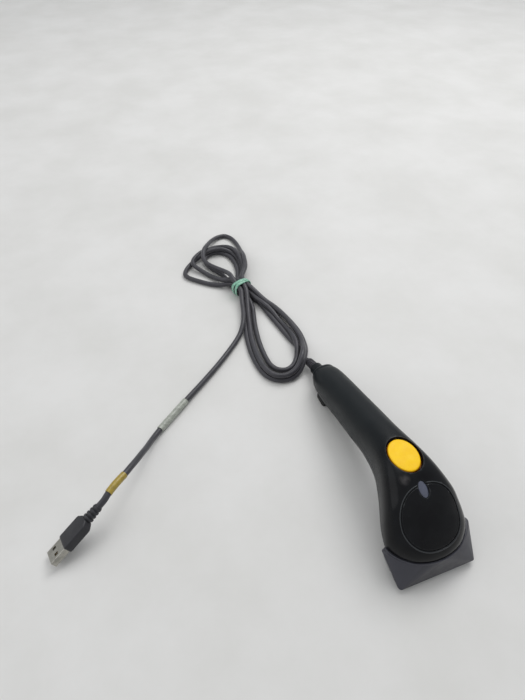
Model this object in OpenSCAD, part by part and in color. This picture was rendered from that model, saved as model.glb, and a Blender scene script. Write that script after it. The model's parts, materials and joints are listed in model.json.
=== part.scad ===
// Handheld barcode scanner: an arched two-part case with a scanning head at its front,
// a round press button on its back, and a cord that leaves the handle end, is folded into a
// tied hank and ends in a USB plug. The front lip faces -Y, the handle end faces +Y, and the
// scanner lies on z = 0 on its bumper and on the foot under the handle.

/* [Case] */
// Length from front lip to handle end
scanner_length = 168; // [164:1:172]
// Width of the bumper
bumper_width = 60; // [58:1:61]
// Wall of the moulded case halves
wall = 2.2; // [1.8:0.1:2.4]
// Roundness exponent of the lower half of the case section, 2 is an ellipse
lower_power = 2.1; // [2:0.1:2.4]

/* [Button] */
// Length of the oval button
button_length = 24; // [22:0.5:24]
// Width of the oval button
button_width = 18.8; // [18:0.2:21.4]
// Travel of the button and the switch under it
button_travel = 1; // [0.6:0.1:1.2]

/* [Optics] */
// Width of the scan window
window_width = 45; // [42:1:45]
// Radius of the pin that carries the swinging mirror
mirror_pin_r = 0.8; // [0.6:0.1:1]
// Height of the swinging mirror
mirror_height = 9.6; // [8:0.2:9.6]

/* [Cord] */
// Diameter of the cord
cord_d = 4.4; // [4:0.1:4.6]
// Height of the loops in front of the tie
front_loop_height = 9.5; // [8:0.5:12]
// Height of the loops behind the tie
rear_loop_height = 18; // [12:1:20]

/* [Plug] */
// Width of the plug's metal shell
shell_width = 12; // [12:0.1:12.2]
// Thickness of the plug's metal shell
shell_thickness = 4.5; // [4.4:0.1:4.6]
// Length of the metal shell outside the grip
shell_length = 11.5; // [11.5:0.5:12]
// Angle the plug is rolled about its own axis as it lies
plug_roll = 23; // [16:1:26]

/* [Hidden] */

nominal_length = 168;
stretch = scanner_length / nominal_length;
front_y = -scanner_length / 2;
tail_y = scanner_length / 2;
eps = 0.05;
gap = 0.15;

// Colours
case_black = [0.13, 0.14, 0.15];
bumper_grey = [0.22, 0.22, 0.25];
window_red = [0.25, 0.03, 0.05, 0.8];
button_yellow = [1.0, 0.78, 0.1];
board_green = [0.05, 0.35, 0.2];
metal = [0.75, 0.75, 0.74];
brass = [0.75, 0.6, 0.3];
cord_grey = [0.27, 0.27, 0.29];

// The case along its length: place from the middle, half width, underside, top,
// height of the widest line and roundness exponent above it
profile = [
    [-80.5, 6, 17.5, 20.5, 19, 2.4],
    [-77.5, 14.6, 13, 26, 19, 2.4],
    [-73, 20.8, 9.5, 32, 19, 2.4],
    [-68, 25, 7.5, 37, 18.6, 2.3],
    [-63.5, 26.8, 7, 40.6, 18.4, 2.2],
    [-57, 26, 8, 45.6, 20.7, 2.6],
    [-50, 24.2, 10, 49.9, 24.2, 3],
    [-36, 19.2, 15, 54.2, 32, 3.2],
    [-22, 15.2, 18.6, 54.7, 35.5, 3.1],
    [-4, 13.2, 18.3, 50.9, 33.5, 2.6],
    [16, 13, 14, 44.8, 28, 2.5],
    [36, 12.5, 8.6, 38.6, 22.5, 2.5],
    [56, 12.4, 3.6, 32, 17, 2.5],
    [72, 11.7, 2, 26.3, 13.5, 2.5],
    [80, 9.3, 3.6, 22.6, 12.5, 2.5],
    [84, 5.8, 8, 18.5, 13, 2.5]
];
rows_per_span = 2;
section_steps = 14;
parting_gap = 0.06;
least_rise = 0.2;

// Catmull-Rom value between b and c
function blend(a, b, c, d, t) =
    b + 0.5 * t * (c - a + t * (2 * a - 5 * b + 4 * c - d + t * (3 * (b - c) + d - a)));

last_row = len(profile) - 1;
function profile_at(i, t) = blend(
    profile[max(i - 1, 0)],
    profile[i],
    profile[min(i + 1, last_row)],
    profile[min(i + 2, last_row)],
    t);

case_rows = [
    for (i = [0 : last_row - 1])
        for (k = [0 : rows_per_span - 1])
            profile_at(i, k / rows_per_span),
    profile[last_row]
];

function signed_pow(v, p) = sign(v) * pow(abs(v), p);

// A point on the case section at an angle, set in from the outside by inset,
// with the parting line lifted by lift
function section_point(row, angle, inset, lift = 0) =
    let (
        mid = row[4] + lift,
        power = angle >= 0 ? row[5] : lower_power,
        depth = angle >= 0 ? row[3] - mid - inset : mid - row[2] - inset,
        rise = max(depth, least_rise),
        y = row[0] * stretch * (1 - inset / tail_y)
    )
    [
        (row[1] - inset) * signed_pow(cos(angle), 2 / power),
        y,
        mid + rise * signed_pow(sin(angle), 2 / power)
    ];

function shell_points(side, inset) = [
    for (row = case_rows)
        for (j = [0 : section_steps])
            section_point(row, side * 180 * j / section_steps, inset, side * parting_gap / 2)
];

function reversed(face) = [for (k = [len(face) - 1 : -1 : 0]) face[k]];
function turned(faces, turn) = [for (f = faces) turn ? reversed(f) : f];

// One half of the case: outer skin, inner skin and the rim between them.
// side is 1 for the upper half and -1 for the lower half.
module half_shell(side, thickness) {
    m = len(case_rows);
    n = section_steps;
    cols = n + 1;
    inner = m * cols;
    skin = [
        for (i = [0 : m - 2])
            for (j = [0 : n - 1])
                let (a = i * cols + j, b = a + 1, d = a + cols, c = d + 1)
                each [[a, b, c], [a, c, d]]
    ];
    front_cap = [for (j = [n : -1 : 0]) j];
    rear_cap = [for (j = [0 : n]) (m - 1) * cols + j];
    outer_faces = concat(skin, [front_cap, rear_cap]);
    inner_faces = [for (f = outer_faces) [for (v = reversed(f)) v + inner]];
    right_rim = [
        for (i = [0 : m - 2])
            let (o = i * cols, p = o + cols)
            each [[o, p, p + inner], [o, p + inner, o + inner]]
    ];
    left_rim = [
        for (i = [0 : m - 2])
            let (o = i * cols + n, p = o + cols)
            each [[o + inner, p + inner, p], [o + inner, p, o]]
    ];
    tail = (m - 1) * cols;
    front_rim = [[n, 0, inner], [n, inner, n + inner]];
    rear_rim = [
        [tail + n + inner, tail + inner, tail],
        [tail + n + inner, tail, tail + n]
    ];
    polyhedron(
        points = concat(shell_points(side, 0), shell_points(side, thickness)),
        faces = turned(
            concat(outer_faces, inner_faces, right_rim, left_rim, front_rim, rear_rim),
            side < 0)
    );
}

// Oval outline with half axes a across and b along
function oval(a, b, steps = 48) = [
    for (k = [0 : steps - 1]) [a * cos(360 * k / steps), b * sin(360 * k / steps)]
];

module oval_plate(a, b, low, high) {
    translate([0, 0, low]) linear_extrude(high - low) polygon(oval(a, b));
}

// ---- Bumper and window ----

seam_z = 19;
seam_r = 36.2;
seam_y = -45.5;
lip_z = 3;
lip_half = 26.8;
lip_depth = 5.4;
lip_corner = 2.6;
pad_half = 24.6;
pad_corner = 3;
slope_rear_y = -69;
block_rear_y = -62.5;
bumper_wall = 2.2;
floor_t = 1.6;

module rounded_bar(half_x, low_y, high_y, low_z, height, r) {
    for (sx = [-1, 1])
        for (y = [low_y + r, high_y - r])
            translate([sx * (half_x - r), y, low_z]) cylinder(r = r, h = height, $fn = 32);
}

// Outline of the bumper where it meets the case, set in by inset
module seam_outline(inset) {
    offset(r = 2, $fn = 32) offset(delta = -2) intersection() {
        translate([0, seam_y]) circle(r = seam_r - inset, $fn = 64);
        translate([-bumper_width / 2 + inset, seam_y - seam_r])
            square([bumper_width - 2 * inset, block_rear_y - inset - seam_y + seam_r]);
    }
}

// The block that the bumper fills, set in on every side by inset
module head_block(inset, top, floor_up) {
    sheet = 0.4;
    hull() {
        translate([0, 0, top - sheet]) linear_extrude(sheet) seam_outline(inset);
        rounded_bar(lip_half - inset, front_y + inset, front_y + lip_depth + inset / 2,
            lip_z + floor_up, sheet, lip_corner - max(inset, 0) / 2);
        rounded_bar(pad_half - inset, slope_rear_y + inset / 2, block_rear_y - inset,
            floor_up, sheet, pad_corner - max(inset, 0));
    }
}

window_front_y = front_y + lip_depth;
window_tilt = atan2(lip_z, slope_rear_y - window_front_y);
window_length = 11;
glass_t = 1.6;
gasket_t = 0.6;
gasket_rim = 1.5;
gasket_low = floor_t * cos(window_tilt) + bumper_wall / 2 * sin(window_tilt) + 0.02;

// Local frame of the window: z = 0 on the sloping underside, y along it
module at_window() {
    translate([0, (slope_rear_y + window_front_y) / 2, lip_z / 2])
        rotate([-window_tilt, 0, 0]) translate([0, -0.8, 0]) children();
}

// A plate as wide and long as the window, less an edge on every side
module window_plate(edge, low, height) {
    translate([edge - window_width / 2, edge - window_length / 2, low])
        cube([window_width - 2 * edge, window_length - 2 * edge, height]);
}

module bumper() {
    color(bumper_grey) difference() {
        head_block(0, seam_z, 0);
        head_block(bumper_wall, seam_z + 1, floor_t);
        at_window() window_plate(gasket_rim, -5, 8);
    }
}

module window_gasket() {
    color([0.06, 0.06, 0.06]) at_window() difference() {
        window_plate(0, gasket_low, gasket_t);
        window_plate(gasket_rim, gasket_low - 1, gasket_t + 2);
    }
}

module scan_window() {
    color(window_red) at_window() window_plate(0, gasket_low + gasket_t, glass_t);
}

// ---- Places shared by the case and the pieces in it ----

button_y = -26.8;
button_top_z = 52.6;
led_y = -49.6;
led_tilt = 26;
led_z = 49.3;
lens_half = 2.7;
lens_long = 5;
head_screw_x = 18;
head_screw_y = -56;
neck_screw_y = -9;
head_split_z = 26.6;
neck_split_z = 32;
screw_r = 1.4;
screw_head_r = 2.6;
boss_r = 4;
ear_t = 1.6;

// Screws through the case: across, along, seat of the head, top of the lower boss
screw_places = [
    [-head_screw_x, head_screw_y, 16, head_split_z],
    [head_screw_x, head_screw_y, 16, head_split_z],
    [0, neck_screw_y, 21, neck_split_z]
];

// The boot's axis: from inside the handle, down to the table behind it
boot_start = [0, 76, 13.2];
boot_end = [-2.4, 103, 5.8];
boot_length = norm(boot_end - boot_start);
boot_pitch = acos((boot_end[2] - boot_start[2]) / boot_length);
boot_heading = atan2(boot_end[1] - boot_start[1], boot_end[0] - boot_start[0]);

module along_boot() {
    translate(boot_start) rotate([0, boot_pitch, boot_heading]) children();
}

module at_led() {
    translate([0, led_y, led_z]) rotate([led_tilt, 0, 0]) children();
}

// ---- Case ----

module upper_case() {
    color(case_black) difference() {
        union() {
            half_shell(1, wall);
            intersection() {
                case_solid(0.4);
                for (p = screw_places) cylinder_at(p[0], p[1], boss_r - 0.5, p[3] + gap, 60);
            }
        }
        head_block(-gap, seam_z + gap, 0);
        translate([0, button_y, 0]) {
            oval_plate(button_width / 2 + 0.35, button_length / 2 + 0.35, 30, 70);
            oval_plate(button_width / 2 + 1.2, button_length / 2 + 1.5, button_top_z - 1.2, 70);
            oval_plate(button_width / 2 + 1.6, button_length / 2 + 1.6, 30, 49.4);
        }
        at_led() translate([0, 0, -12]) linear_extrude(30) polygon(oval(lens_half + 0.2, lens_long + 0.2));
        along_boot() cylinder(r = 5.2, h = 16);
        for (p = screw_places)
            translate([p[0], p[1], p[3] - 2]) cylinder(r = screw_r - 0.2, h = 12);
    }
}

module lower_case() {
    color(case_black) difference() {
        union() {
            half_shell(-1, wall);
            intersection() {
                case_solid(0.4);
                union() {
                    for (p = screw_places)
                        cylinder_at(p[0], p[1], boss_r, 0, p[3] - (p[0] == 0 ? 0 : ear_t + eps));
                    for (y = board_post_y)
                        cylinder_at(0, y, 2, 0, board_under_z(y + 2) - gap);
                }
            }
        }
        head_block(-gap, seam_z + gap, 0);
        along_boot() cylinder(r = 5.2, h = 16);
        for (p = screw_places) {
            translate([p[0], p[1], p[2] - 14]) cylinder(r = screw_head_r + 0.2, h = 17);
            translate([p[0], p[1], p[2]]) cylinder(r = screw_r + 0.2, h = 30);
        }
    }
}

module case_screws() {
    color(metal) for (p = screw_places) translate([p[0], p[1], p[2]]) difference() {
        union() {
            translate([0, 0, 0.9]) cylinder(r = screw_head_r, h = 2.05);
            translate([0, 0, 2.9]) cylinder(r = screw_r - 0.25, h = p[3] - p[2] + 5);
        }
        for (turn = [0, 90])
            rotate([0, 0, turn]) translate([-1.6, -0.3, 0]) cube([3.2, 0.6, 1.9]);
    }
}

module cylinder_at(x, y, r, low, high) {
    translate([x, y, low]) cylinder(r = r, h = high - low);
}

foot_front_y = 59;
foot_rear_y = 71;
foot_half = 9.8;

module rear_foot() {
    color([0.07, 0.07, 0.07]) difference() {
        hull() {
            translate([-foot_half, foot_front_y, 1]) cube([2 * foot_half, foot_rear_y - foot_front_y, 4.6]);
            translate([-foot_half + 1.5, foot_front_y + 1.5, 0])
                cube([2 * foot_half - 3, foot_rear_y - foot_front_y - 3, 1]);
        }
        case_solid(-0.1);
    }
}

// The whole outside of the case as one solid
module case_solid(inset) {
    m = len(case_rows);
    turns = 2 * section_steps;
    points = [
        for (row = case_rows)
            for (j = [0 : turns - 1])
                let (a = 180 * j / section_steps)
                section_point(row, a > 180 ? a - 360 : a, inset)
    ];
    skin = [
        for (i = [0 : m - 2])
            for (j = [0 : turns - 1])
                let (
                    a = i * turns + j,
                    b = i * turns + (j + 1) % turns,
                    c = b + turns,
                    d = a + turns
                )
                each [[a, b, c], [a, c, d]]
    ];
    polyhedron(points = points, faces = concat(skin, [
        [for (j = [turns - 1 : -1 : 0]) j],
        [for (j = [0 : turns - 1]) (m - 1) * turns + j]
    ]));
}

// ---- Button and switch ----

flange_top = 49.2;
flange_t = 1.4;
carrier_top = flange_top - flange_t - button_travel - 0.2;
carrier_t = 1.6;
stem_r = 2.4;
plunger_top = 43;
board_z = 36;
board_t = 1.6;
switch_h = 3.6;

module trigger_button() {
    color(button_yellow) translate([0, button_y, 0]) {
        oval_plate(button_width / 2 - 0.5, button_length / 2 - 0.5, 52, button_top_z);
        oval_plate(button_width / 2, button_length / 2, flange_top - eps, 52);
        oval_plate(button_width / 2 + 1.1, button_length / 2 + 1.1, flange_top - flange_t, flange_top);
        translate([0, 0, plunger_top + eps])
            cylinder(r = stem_r, h = flange_top - flange_t - plunger_top);
    }
}

module button_carrier() {
    color([0.2, 0.2, 0.2]) translate([0, button_y, 0]) difference() {
        oval_plate(button_width / 2 + 1.9, button_length / 2 + 1, carrier_top - carrier_t, carrier_top);
        cylinder(r = stem_r + 0.1, h = 60);
    }
}

module switch_body() {
    color([0.1, 0.1, 0.1]) translate([0, button_y, board_z + board_t]) difference() {
        translate([-3, -3, 0]) cube([6, 6, switch_h]);
        translate([0, 0, 0.8]) cylinder(r = 1.8, h = 10);
    }
}

module switch_plunger() {
    color([0.8, 0.75, 0.6]) translate([0, button_y, board_z + board_t + 2])
        cylinder(r = 1.75, h = plunger_top - board_z - board_t - 2);
}

module trigger_board() {
    color(board_green) difference() {
        translate([-9.5, -54, board_z]) cube([19, 36, board_t]);
        for (y = [-21, -40]) translate([-7, y, board_z - 1]) cylinder(r = 1.1, h = 4);
    }
}

module indicator_led() {
    color([0.9, 0.9, 0.85]) {
        translate([-1.6, led_y - 1.2, board_z + board_t]) cube([3.2, 2.4, 1.1]);
        translate([0, led_y, board_z + board_t + 1.05]) cylinder(r = 1, h = 0.5);
    }
}

module led_lens() {
    color([0.55, 0.6, 0.68]) difference() {
        at_led() {
            translate([0, 0, -7]) linear_extrude(7.4) polygon(oval(lens_half, lens_long));
            translate([0, 0, -5.4]) linear_extrude(1) polygon(oval(lens_half + 0.9, lens_long + 0.9));
        }
        translate([-10, led_y - 20, board_z]) cube([20, 40, board_t + 2.4]);
    }
}

module beeper() {
    color([0.15, 0.15, 0.15]) translate([0, -46.2, board_z - 2.2])
        difference() {
            cylinder(r = 4.3, h = 2.1);
            translate([0, 0, -1]) cylinder(r = 0.8, h = 2);
        }
}

// ---- Scan engine ----

chassis_half = 13.5;
chassis_front_y = -65;
chassis_rear_y = -38;
chassis_floor_z = 19.3;
chassis_top_z = 33.3;
chassis_t = 1.6;
mirror_y = -60;
beam_z = 26.3;
laser_r = 3.5;
coil_y = -52.4;
coil_r = 4;
fold_y = -70.5;
fold_tilt = (90 - window_tilt) / 2;
fold_half = 9;
fold_length = 7.6;
notch = 2.4;

module optical_chassis() {
    color([0.25, 0.25, 0.26]) difference() {
        translate([-chassis_half, chassis_front_y, chassis_floor_z])
            cube([2 * chassis_half, chassis_rear_y - chassis_front_y, chassis_top_z - chassis_floor_z]);
        translate([-chassis_half + chassis_t, chassis_front_y - 1, chassis_floor_z + chassis_t])
            cube([
                2 * (chassis_half - chassis_t),
                chassis_rear_y - chassis_front_y + 1 - 2 * chassis_t,
                chassis_top_z - chassis_floor_z - 2 * chassis_t
            ]);
        translate([-8, -52, chassis_top_z - 3]) cube([16, 10, 5]);
        translate([0, mirror_y, chassis_floor_z - 1]) cylinder(r = mirror_pin_r, h = 30);
        translate([0, chassis_rear_y - 5, beam_z]) rotate([-90, 0, 0]) cylinder(r = laser_r, h = 10);
        for (side = [-1, 1])
            translate([side * chassis_half - notch, chassis_rear_y - 3, chassis_floor_z - 1])
                cube([2 * notch, 4, notch + 1]);
    }
    color([0.25, 0.25, 0.26]) {
        translate([-2.4, coil_y, chassis_floor_z + chassis_t - eps])
            cube([4.8, 3, beam_z - coil_r - chassis_floor_z - chassis_t]);
        for (x = [-fold_half - 1.65, fold_half + 0.05])
            translate([x, fold_y - 2.4, 21]) cube([1.6, 8, 4.4]);
        for (x = [-6.5, 6.5])
            for (y = [-53, -41])
                cylinder_at(x, y, 1.5, chassis_top_z - eps, board_z);
        for (side = [-1, 1])
            difference() {
                translate([side * (chassis_half + 4.2) - 4.3, head_screw_y - 3, head_split_z - ear_t])
                    cube([8.6, 6, ear_t - eps]);
                cylinder_at(side * head_screw_x, head_screw_y, screw_r + 0.2, 0, 60);
            }
    }
}

// Fixed mirror that turns the beam down to the window
module fold_mirror() {
    color([0.78, 0.82, 0.86]) translate([0, fold_y, beam_z]) rotate([fold_tilt, 0, 0])
        translate([-fold_half, -fold_length / 2, 0]) cube([2 * fold_half, fold_length, 1.2]);
}

module laser_module() {
    color(brass) translate([0, -45, beam_z]) rotate([-90, 0, 0]) difference() {
        union() {
            cylinder(r = laser_r - 0.05, h = 11);
            translate([0, 0, 10.9]) cylinder(r = laser_r + 0.8, h = 2);
        }
        translate([0, 0, -1]) cylinder(r = 1.2, h = 4);
    }
}

module mirror_pin() {
    color(metal) translate([0, mirror_y, chassis_floor_z])
        cylinder(r = mirror_pin_r - 0.005, h = chassis_top_z - chassis_floor_z);
}

pin_clearance = 0.04;
hub_r = 1.9;

module scan_mirror() {
    color([0.8, 0.85, 0.9]) translate([0, mirror_y, 0]) difference() {
        union() {
            translate([0, 0, chassis_floor_z + chassis_t + 0.3])
                cylinder(r = hub_r, h = chassis_top_z - chassis_floor_z - 2 * chassis_t - 0.6);
            translate([-8, -2.6, beam_z - mirror_height / 2]) cube([16, 1.2, mirror_height]);
            translate([-1.2, 0.9, beam_z - 2]) cube([2.4, 3, 4]);
        }
        cylinder(r = mirror_pin_r - 0.005 + pin_clearance, h = 60);
    }
}

module mirror_magnet() {
    color([0.5, 0.5, 0.52]) translate([-2.5, mirror_y + 3.9, beam_z - 2.5]) cube([5, 1.6, 5]);
}

module drive_coil() {
    color([0.7, 0.35, 0.15]) translate([0, coil_y, beam_z]) rotate([-90, 0, 0]) difference() {
        cylinder(r = coil_r, h = 3);
        translate([0, 0, -1]) cylinder(r = 2.4, h = 5);
    }
}

module collecting_mirror() {
    color([0.75, 0.78, 0.82]) translate([8.4, -44.5, beam_z]) difference() {
        translate([-2.8, -2, chassis_floor_z + chassis_t - beam_z]) cube([5.5, 4, chassis_top_z - chassis_floor_z - 2 * chassis_t - 0.1]);
        translate([0, -22.5, 0]) sphere(r = 21.2, $fn = 48);
    }
}

module light_sensor() {
    color([0.3, 0.05, 0.08]) translate([chassis_t - chassis_half, -48.6, beam_z - 3.5]) {
        cube([1.6, 7, 7]);
        translate([1.55, 1, 1]) cube([1, 5, 5]);
    }
}

// ---- Electronics in the handle ----

board_length = 54;
board_width = 17;
board_front = [0, 2, 30];
board_slope = 15.5;
board_post_y = [12, 38];
function board_under_z(y) = board_front[2] - (y - board_front[1]) * tan(board_slope);

// Local frame of the main board: y along it towards the handle end
module on_board() {
    translate(board_front) rotate([-board_slope, 0, 0]) children();
}

module main_board() {
    color(board_green) on_board() difference() {
        translate([-board_width / 2, 0, 0]) cube([board_width, board_length, board_t]);
        for (y = [3, board_length - 18])
            translate([-board_width / 2 + 2.5, y, -1]) cylinder(r = 1.1, h = 4);
    }
}

chip_places = [
    [-4, 8, 8, 8, 1.4],
    [-5, 21, 10, 10, 1.2],
    [2, 33.5, 5, 4, 1],
    [-6, 34, 4, 3, 0.9]
];

module board_chips() {
    color([0.08, 0.08, 0.08]) on_board() for (c = chip_places)
        translate([c[0], c[1], board_t]) cube([c[2], c[3], c[4]]);
}

jack_y = 55;
jack_low_z = 10.4;

module cable_jack() {
    color([0.12, 0.12, 0.12]) difference() {
        translate([-7.5, jack_y, jack_low_z]) cube([15, 12, 10.4]);
        translate([-5.9, jack_y + 2, jack_low_z + 1.6]) cube([11.8, 20, 7.2]);
    }
}

module modular_plug() {
    color([0.8, 0.82, 0.85]) {
        translate([-5.7, jack_y + 3, jack_low_z + 1.8]) cube([11.4, 15, 5.6]);
        translate([-1.6, jack_y + 4, jack_low_z + 7.3]) cube([3.2, 10, 1]);
    }
}

// ---- Cord ----

boot_ribs = 5;
rib_pitch = 3.4;
boot_r = 4.9;
boot_tip_r = 3.3;
rib_from = 10.5;

module cord_boot() {
    color(cord_grey) along_boot() {
        translate([0, 0, -1.4]) cylinder(r = 6.2, h = 2.4);
        cylinder(r = boot_r, h = rib_from);
        translate([0, 0, rib_from]) cylinder(r = boot_tip_r - 0.5, h = boot_length - rib_from);
        for (k = [0 : boot_ribs - 1])
            translate([0, 0, rib_from + 0.6 + k * rib_pitch])
                cylinder(r = boot_r - (boot_r - boot_tip_r) * (k + 1) / boot_ribs, h = 2);
    }
}

// Swept round tube along route points
function unit(v) = v / norm(v);
function route_heading(route, i) = unit(route[min(i + 1, len(route) - 1)] - route[max(i - 1, 0)]);

module tube(route, r, sides) {
    count = len(route);
    points = [
        for (i = [0 : count - 1])
            let (
                t = route_heading(route, i),
                across = unit(cross(t, [0, 0, 1])),
                up = cross(across, t)
            )
            for (k = [0 : sides - 1])
                let (a = 360 * k / sides)
                route[i] + r * (cos(a) * across + sin(a) * up)
    ];
    skin = [
        for (i = [0 : count - 2])
            for (k = [0 : sides - 1])
                let (
                    a = i * sides + k,
                    b = i * sides + (k + 1) % sides,
                    c = b + sides,
                    d = a + sides
                )
                each [[a, c, b], [a, d, c]]
    ];
    polyhedron(points = points, faces = concat(skin, [
        [for (k = [0 : sides - 1]) k],
        [for (k = [sides - 1 : -1 : 0]) (count - 1) * sides + k]
    ]));
}

cord_r = cord_d / 2;
cord_sides = 10;

lead_route = [
    boot_end,
    [-3, 106.5, 5],
    [-4, 110.5, 4.4]
];

module cord_lead() {
    color(cord_grey) tube(lead_route, cord_r, cord_sides);
}

// Outline of the loops in front of the tie
front_loops = [
    [-15, 209], [-7, 189], [1, 170], [6, 154], [7.4, 136], [4, 117], [-4.5, 105],
    [-16, 96], [-30, 93], [-40, 101], [-43.5, 127], [-42, 153], [-35, 185], [-32, 208]
];

// Outline of the loops behind the tie
rear_loops = [
    [-15, 217], [-6, 244], [-1.6, 272], [-1.3, 290], [-4.5, 303], [-11, 310], [-19, 310], [-30, 301],
    [-41, 287], [-55, 278.5], [-64, 269], [-71, 257], [-70, 247], [-59, 235], [-43, 224], [-32, 216]
];

tie_place = [-23.5, 213, 0];
tie_turn = 14;
neck_half = 8;
neck_low = 1.3;
neck_high = 13;
tie_t = 1.2;

module at_tie() {
    translate(tie_place) rotate([0, 0, tie_turn]) children();
}

module cord_hank() {
    color(cord_grey) {
        linear_extrude(front_loop_height) polygon(front_loops);
        linear_extrude(rear_loop_height) polygon(rear_loops);
        at_tie() translate([-neck_half, -7, neck_low])
            cube([2 * neck_half, 14, neck_high - neck_low]);
    }
}

module cord_tie() {
    color([0.5, 0.7, 0.6]) at_tie() difference() {
        translate([-neck_half - tie_t, -1.6, 0])
            cube([2 * (neck_half + tie_t), 3.2, neck_high + tie_t]);
        translate([-neck_half, -5, neck_low]) cube([2 * neck_half, 10, neck_high - neck_low]);
    }
}

// From the hank, along the table, then in an arch down to the plug
free_route = [
    [-40, 163, 4.6], [-47, 154, 3.2], [-58, 143, 2.3], [-70, 132, 2.3], [-82, 122, 2.3],
    [-94, 112.5, 2.4], [-106, 103, 2.8], [-136, 79, 2.8], [-141, 72.5, 5.2], [-145.9, 64.4, 10],
    [-154.4, 51.2, 17.5], [-163.7, 39.6, 22.5], [-177, 27.5, 24], [-179.4, 25, 23.1],
    [-183.56, 23.12, 21.05]
];

module cord_free_run() {
    color(cord_grey) tube(free_route, cord_r, cord_sides);
}

// A hollow sleeve round the straight stretch between two route points
module sleeve_between(a, b, inner_r, outer_r) {
    run = b - a;
    translate(a) rotate([0, acos(run[2] / norm(run)), atan2(run[1], run[0])]) difference() {
        cylinder(r = outer_r, h = norm(run));
        translate([0, 0, -1]) cylinder(r = inner_r, h = norm(run) + 2);
    }
}

module cord_sleeve() {
    color([0.65, 0.67, 0.63]) sleeve_between([-109, 100.6, 2.8], [-134.5, 80.2, 2.8], cord_r + 0.1, 2.75);
}

module cord_label() {
    color([0.8, 0.68, 0.2]) sleeve_between([-164, 39.327, 22.534], [-176.7, 27.773, 23.966], cord_r + 0.12, 2.65);
}

// ---- Plug ----

plug_place = free_route[len(free_route) - 1];
plug_heading = 204;
plug_pitch = 24;
grip_front = 30;
grip_rear = 10.5;
grip_half = 6.6;
grip_thick = 3.1;

// Local frame of the plug: x towards its tip
module at_plug() {
    translate(plug_place) rotate([plug_roll, plug_pitch, plug_heading]) children();
}

module usb_boot() {
    color([0.16, 0.16, 0.17]) at_plug() rotate([0, 90, 0]) {
        cylinder(r = 2.7, h = grip_rear);
        for (k = [0 : 3])
            translate([0, 0, 0.6 + 2.5 * k]) cylinder(r = 3 + 0.18 * k, h = 1.6);
    }
}

module usb_grip() {
    color([0.18, 0.18, 0.2]) at_plug() translate([0, 0, -grip_thick]) linear_extrude(2 * grip_thick)
        polygon([
            [grip_rear, -3.3], [grip_rear + 4.5, -grip_half], [grip_front - 1, -grip_half],
            [grip_front, -grip_half + 1], [grip_front, grip_half - 1], [grip_front - 1, grip_half],
            [grip_rear + 4.5, grip_half], [grip_rear, 3.3]
        ]);
}

shell_wall = 0.4;

module usb_shell() {
    color(metal) at_plug() translate([grip_front, 0, 0]) difference() {
        translate([0, -shell_width / 2, -shell_thickness / 2])
            cube([shell_length, shell_width, shell_thickness]);
        translate([-eps, -shell_width / 2 + shell_wall, -shell_thickness / 2 + shell_wall])
            cube([shell_length + 1, shell_width - 2 * shell_wall, shell_thickness - 2 * shell_wall]);
        for (side = [-1, 1])
            translate([4.6, side * 2.8 - 1.15, -5]) cube([2.6, 2.3, 10]);
    }
}

tongue_t = 1.75;

module usb_tongue() {
    color([0.9, 0.9, 0.9]) at_plug()
        translate([grip_front, -shell_width / 2 + shell_wall + 0.05, -shell_thickness / 2 + shell_wall + 0.02])
            cube([shell_length - 0.6, shell_width - 2 * shell_wall - 0.1, tongue_t]);
}

module usb_contacts() {
    color([0.85, 0.7, 0.35]) at_plug()
        translate([grip_front + 3, 0, -shell_thickness / 2 + shell_wall + 0.02 + tongue_t])
            for (y = [-3.5, -1, 1, 3.5]) translate([0, y - 0.5, 0]) cube([8.5, 1, 0.25]);
}

upper_case();
lower_case();
bumper();
scan_window();
window_gasket();
trigger_button();
button_carrier();
switch_body();
switch_plunger();
led_lens();
indicator_led();
trigger_board();
beeper();
optical_chassis();
laser_module();
mirror_pin();
scan_mirror();
mirror_magnet();
drive_coil();
fold_mirror();
collecting_mirror();
light_sensor();
main_board();
board_chips();
cable_jack();
modular_plug();
case_screws();
rear_foot();
cord_boot();
cord_lead();
cord_hank();
cord_tie();
cord_free_run();
cord_sleeve();
cord_label();
usb_boot();
usb_grip();
usb_shell();
usb_tongue();
usb_contacts();
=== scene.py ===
"""Looks of the handheld barcode scanner: moulded case, bumper, button, tied cord and USB plug."""

import json
import math

import bmesh
import bpy
import numpy as np
from mathutils import Matrix, Vector


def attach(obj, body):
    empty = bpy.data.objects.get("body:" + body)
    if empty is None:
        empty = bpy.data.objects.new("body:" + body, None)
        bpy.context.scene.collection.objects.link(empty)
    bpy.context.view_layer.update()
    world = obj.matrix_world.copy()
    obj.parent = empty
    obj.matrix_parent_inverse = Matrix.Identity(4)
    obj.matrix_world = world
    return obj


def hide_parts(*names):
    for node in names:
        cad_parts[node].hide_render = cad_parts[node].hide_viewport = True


MM = 0.001
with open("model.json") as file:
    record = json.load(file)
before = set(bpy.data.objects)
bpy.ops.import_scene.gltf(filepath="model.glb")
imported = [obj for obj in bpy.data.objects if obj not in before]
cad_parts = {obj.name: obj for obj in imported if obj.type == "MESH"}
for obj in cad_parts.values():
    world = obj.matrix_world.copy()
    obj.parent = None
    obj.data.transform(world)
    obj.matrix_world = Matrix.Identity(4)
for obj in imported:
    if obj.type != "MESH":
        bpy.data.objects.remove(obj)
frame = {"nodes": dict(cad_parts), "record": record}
nodes = frame["nodes"]
scene = bpy.context.scene
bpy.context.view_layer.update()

# ---- Camera ----

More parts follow.
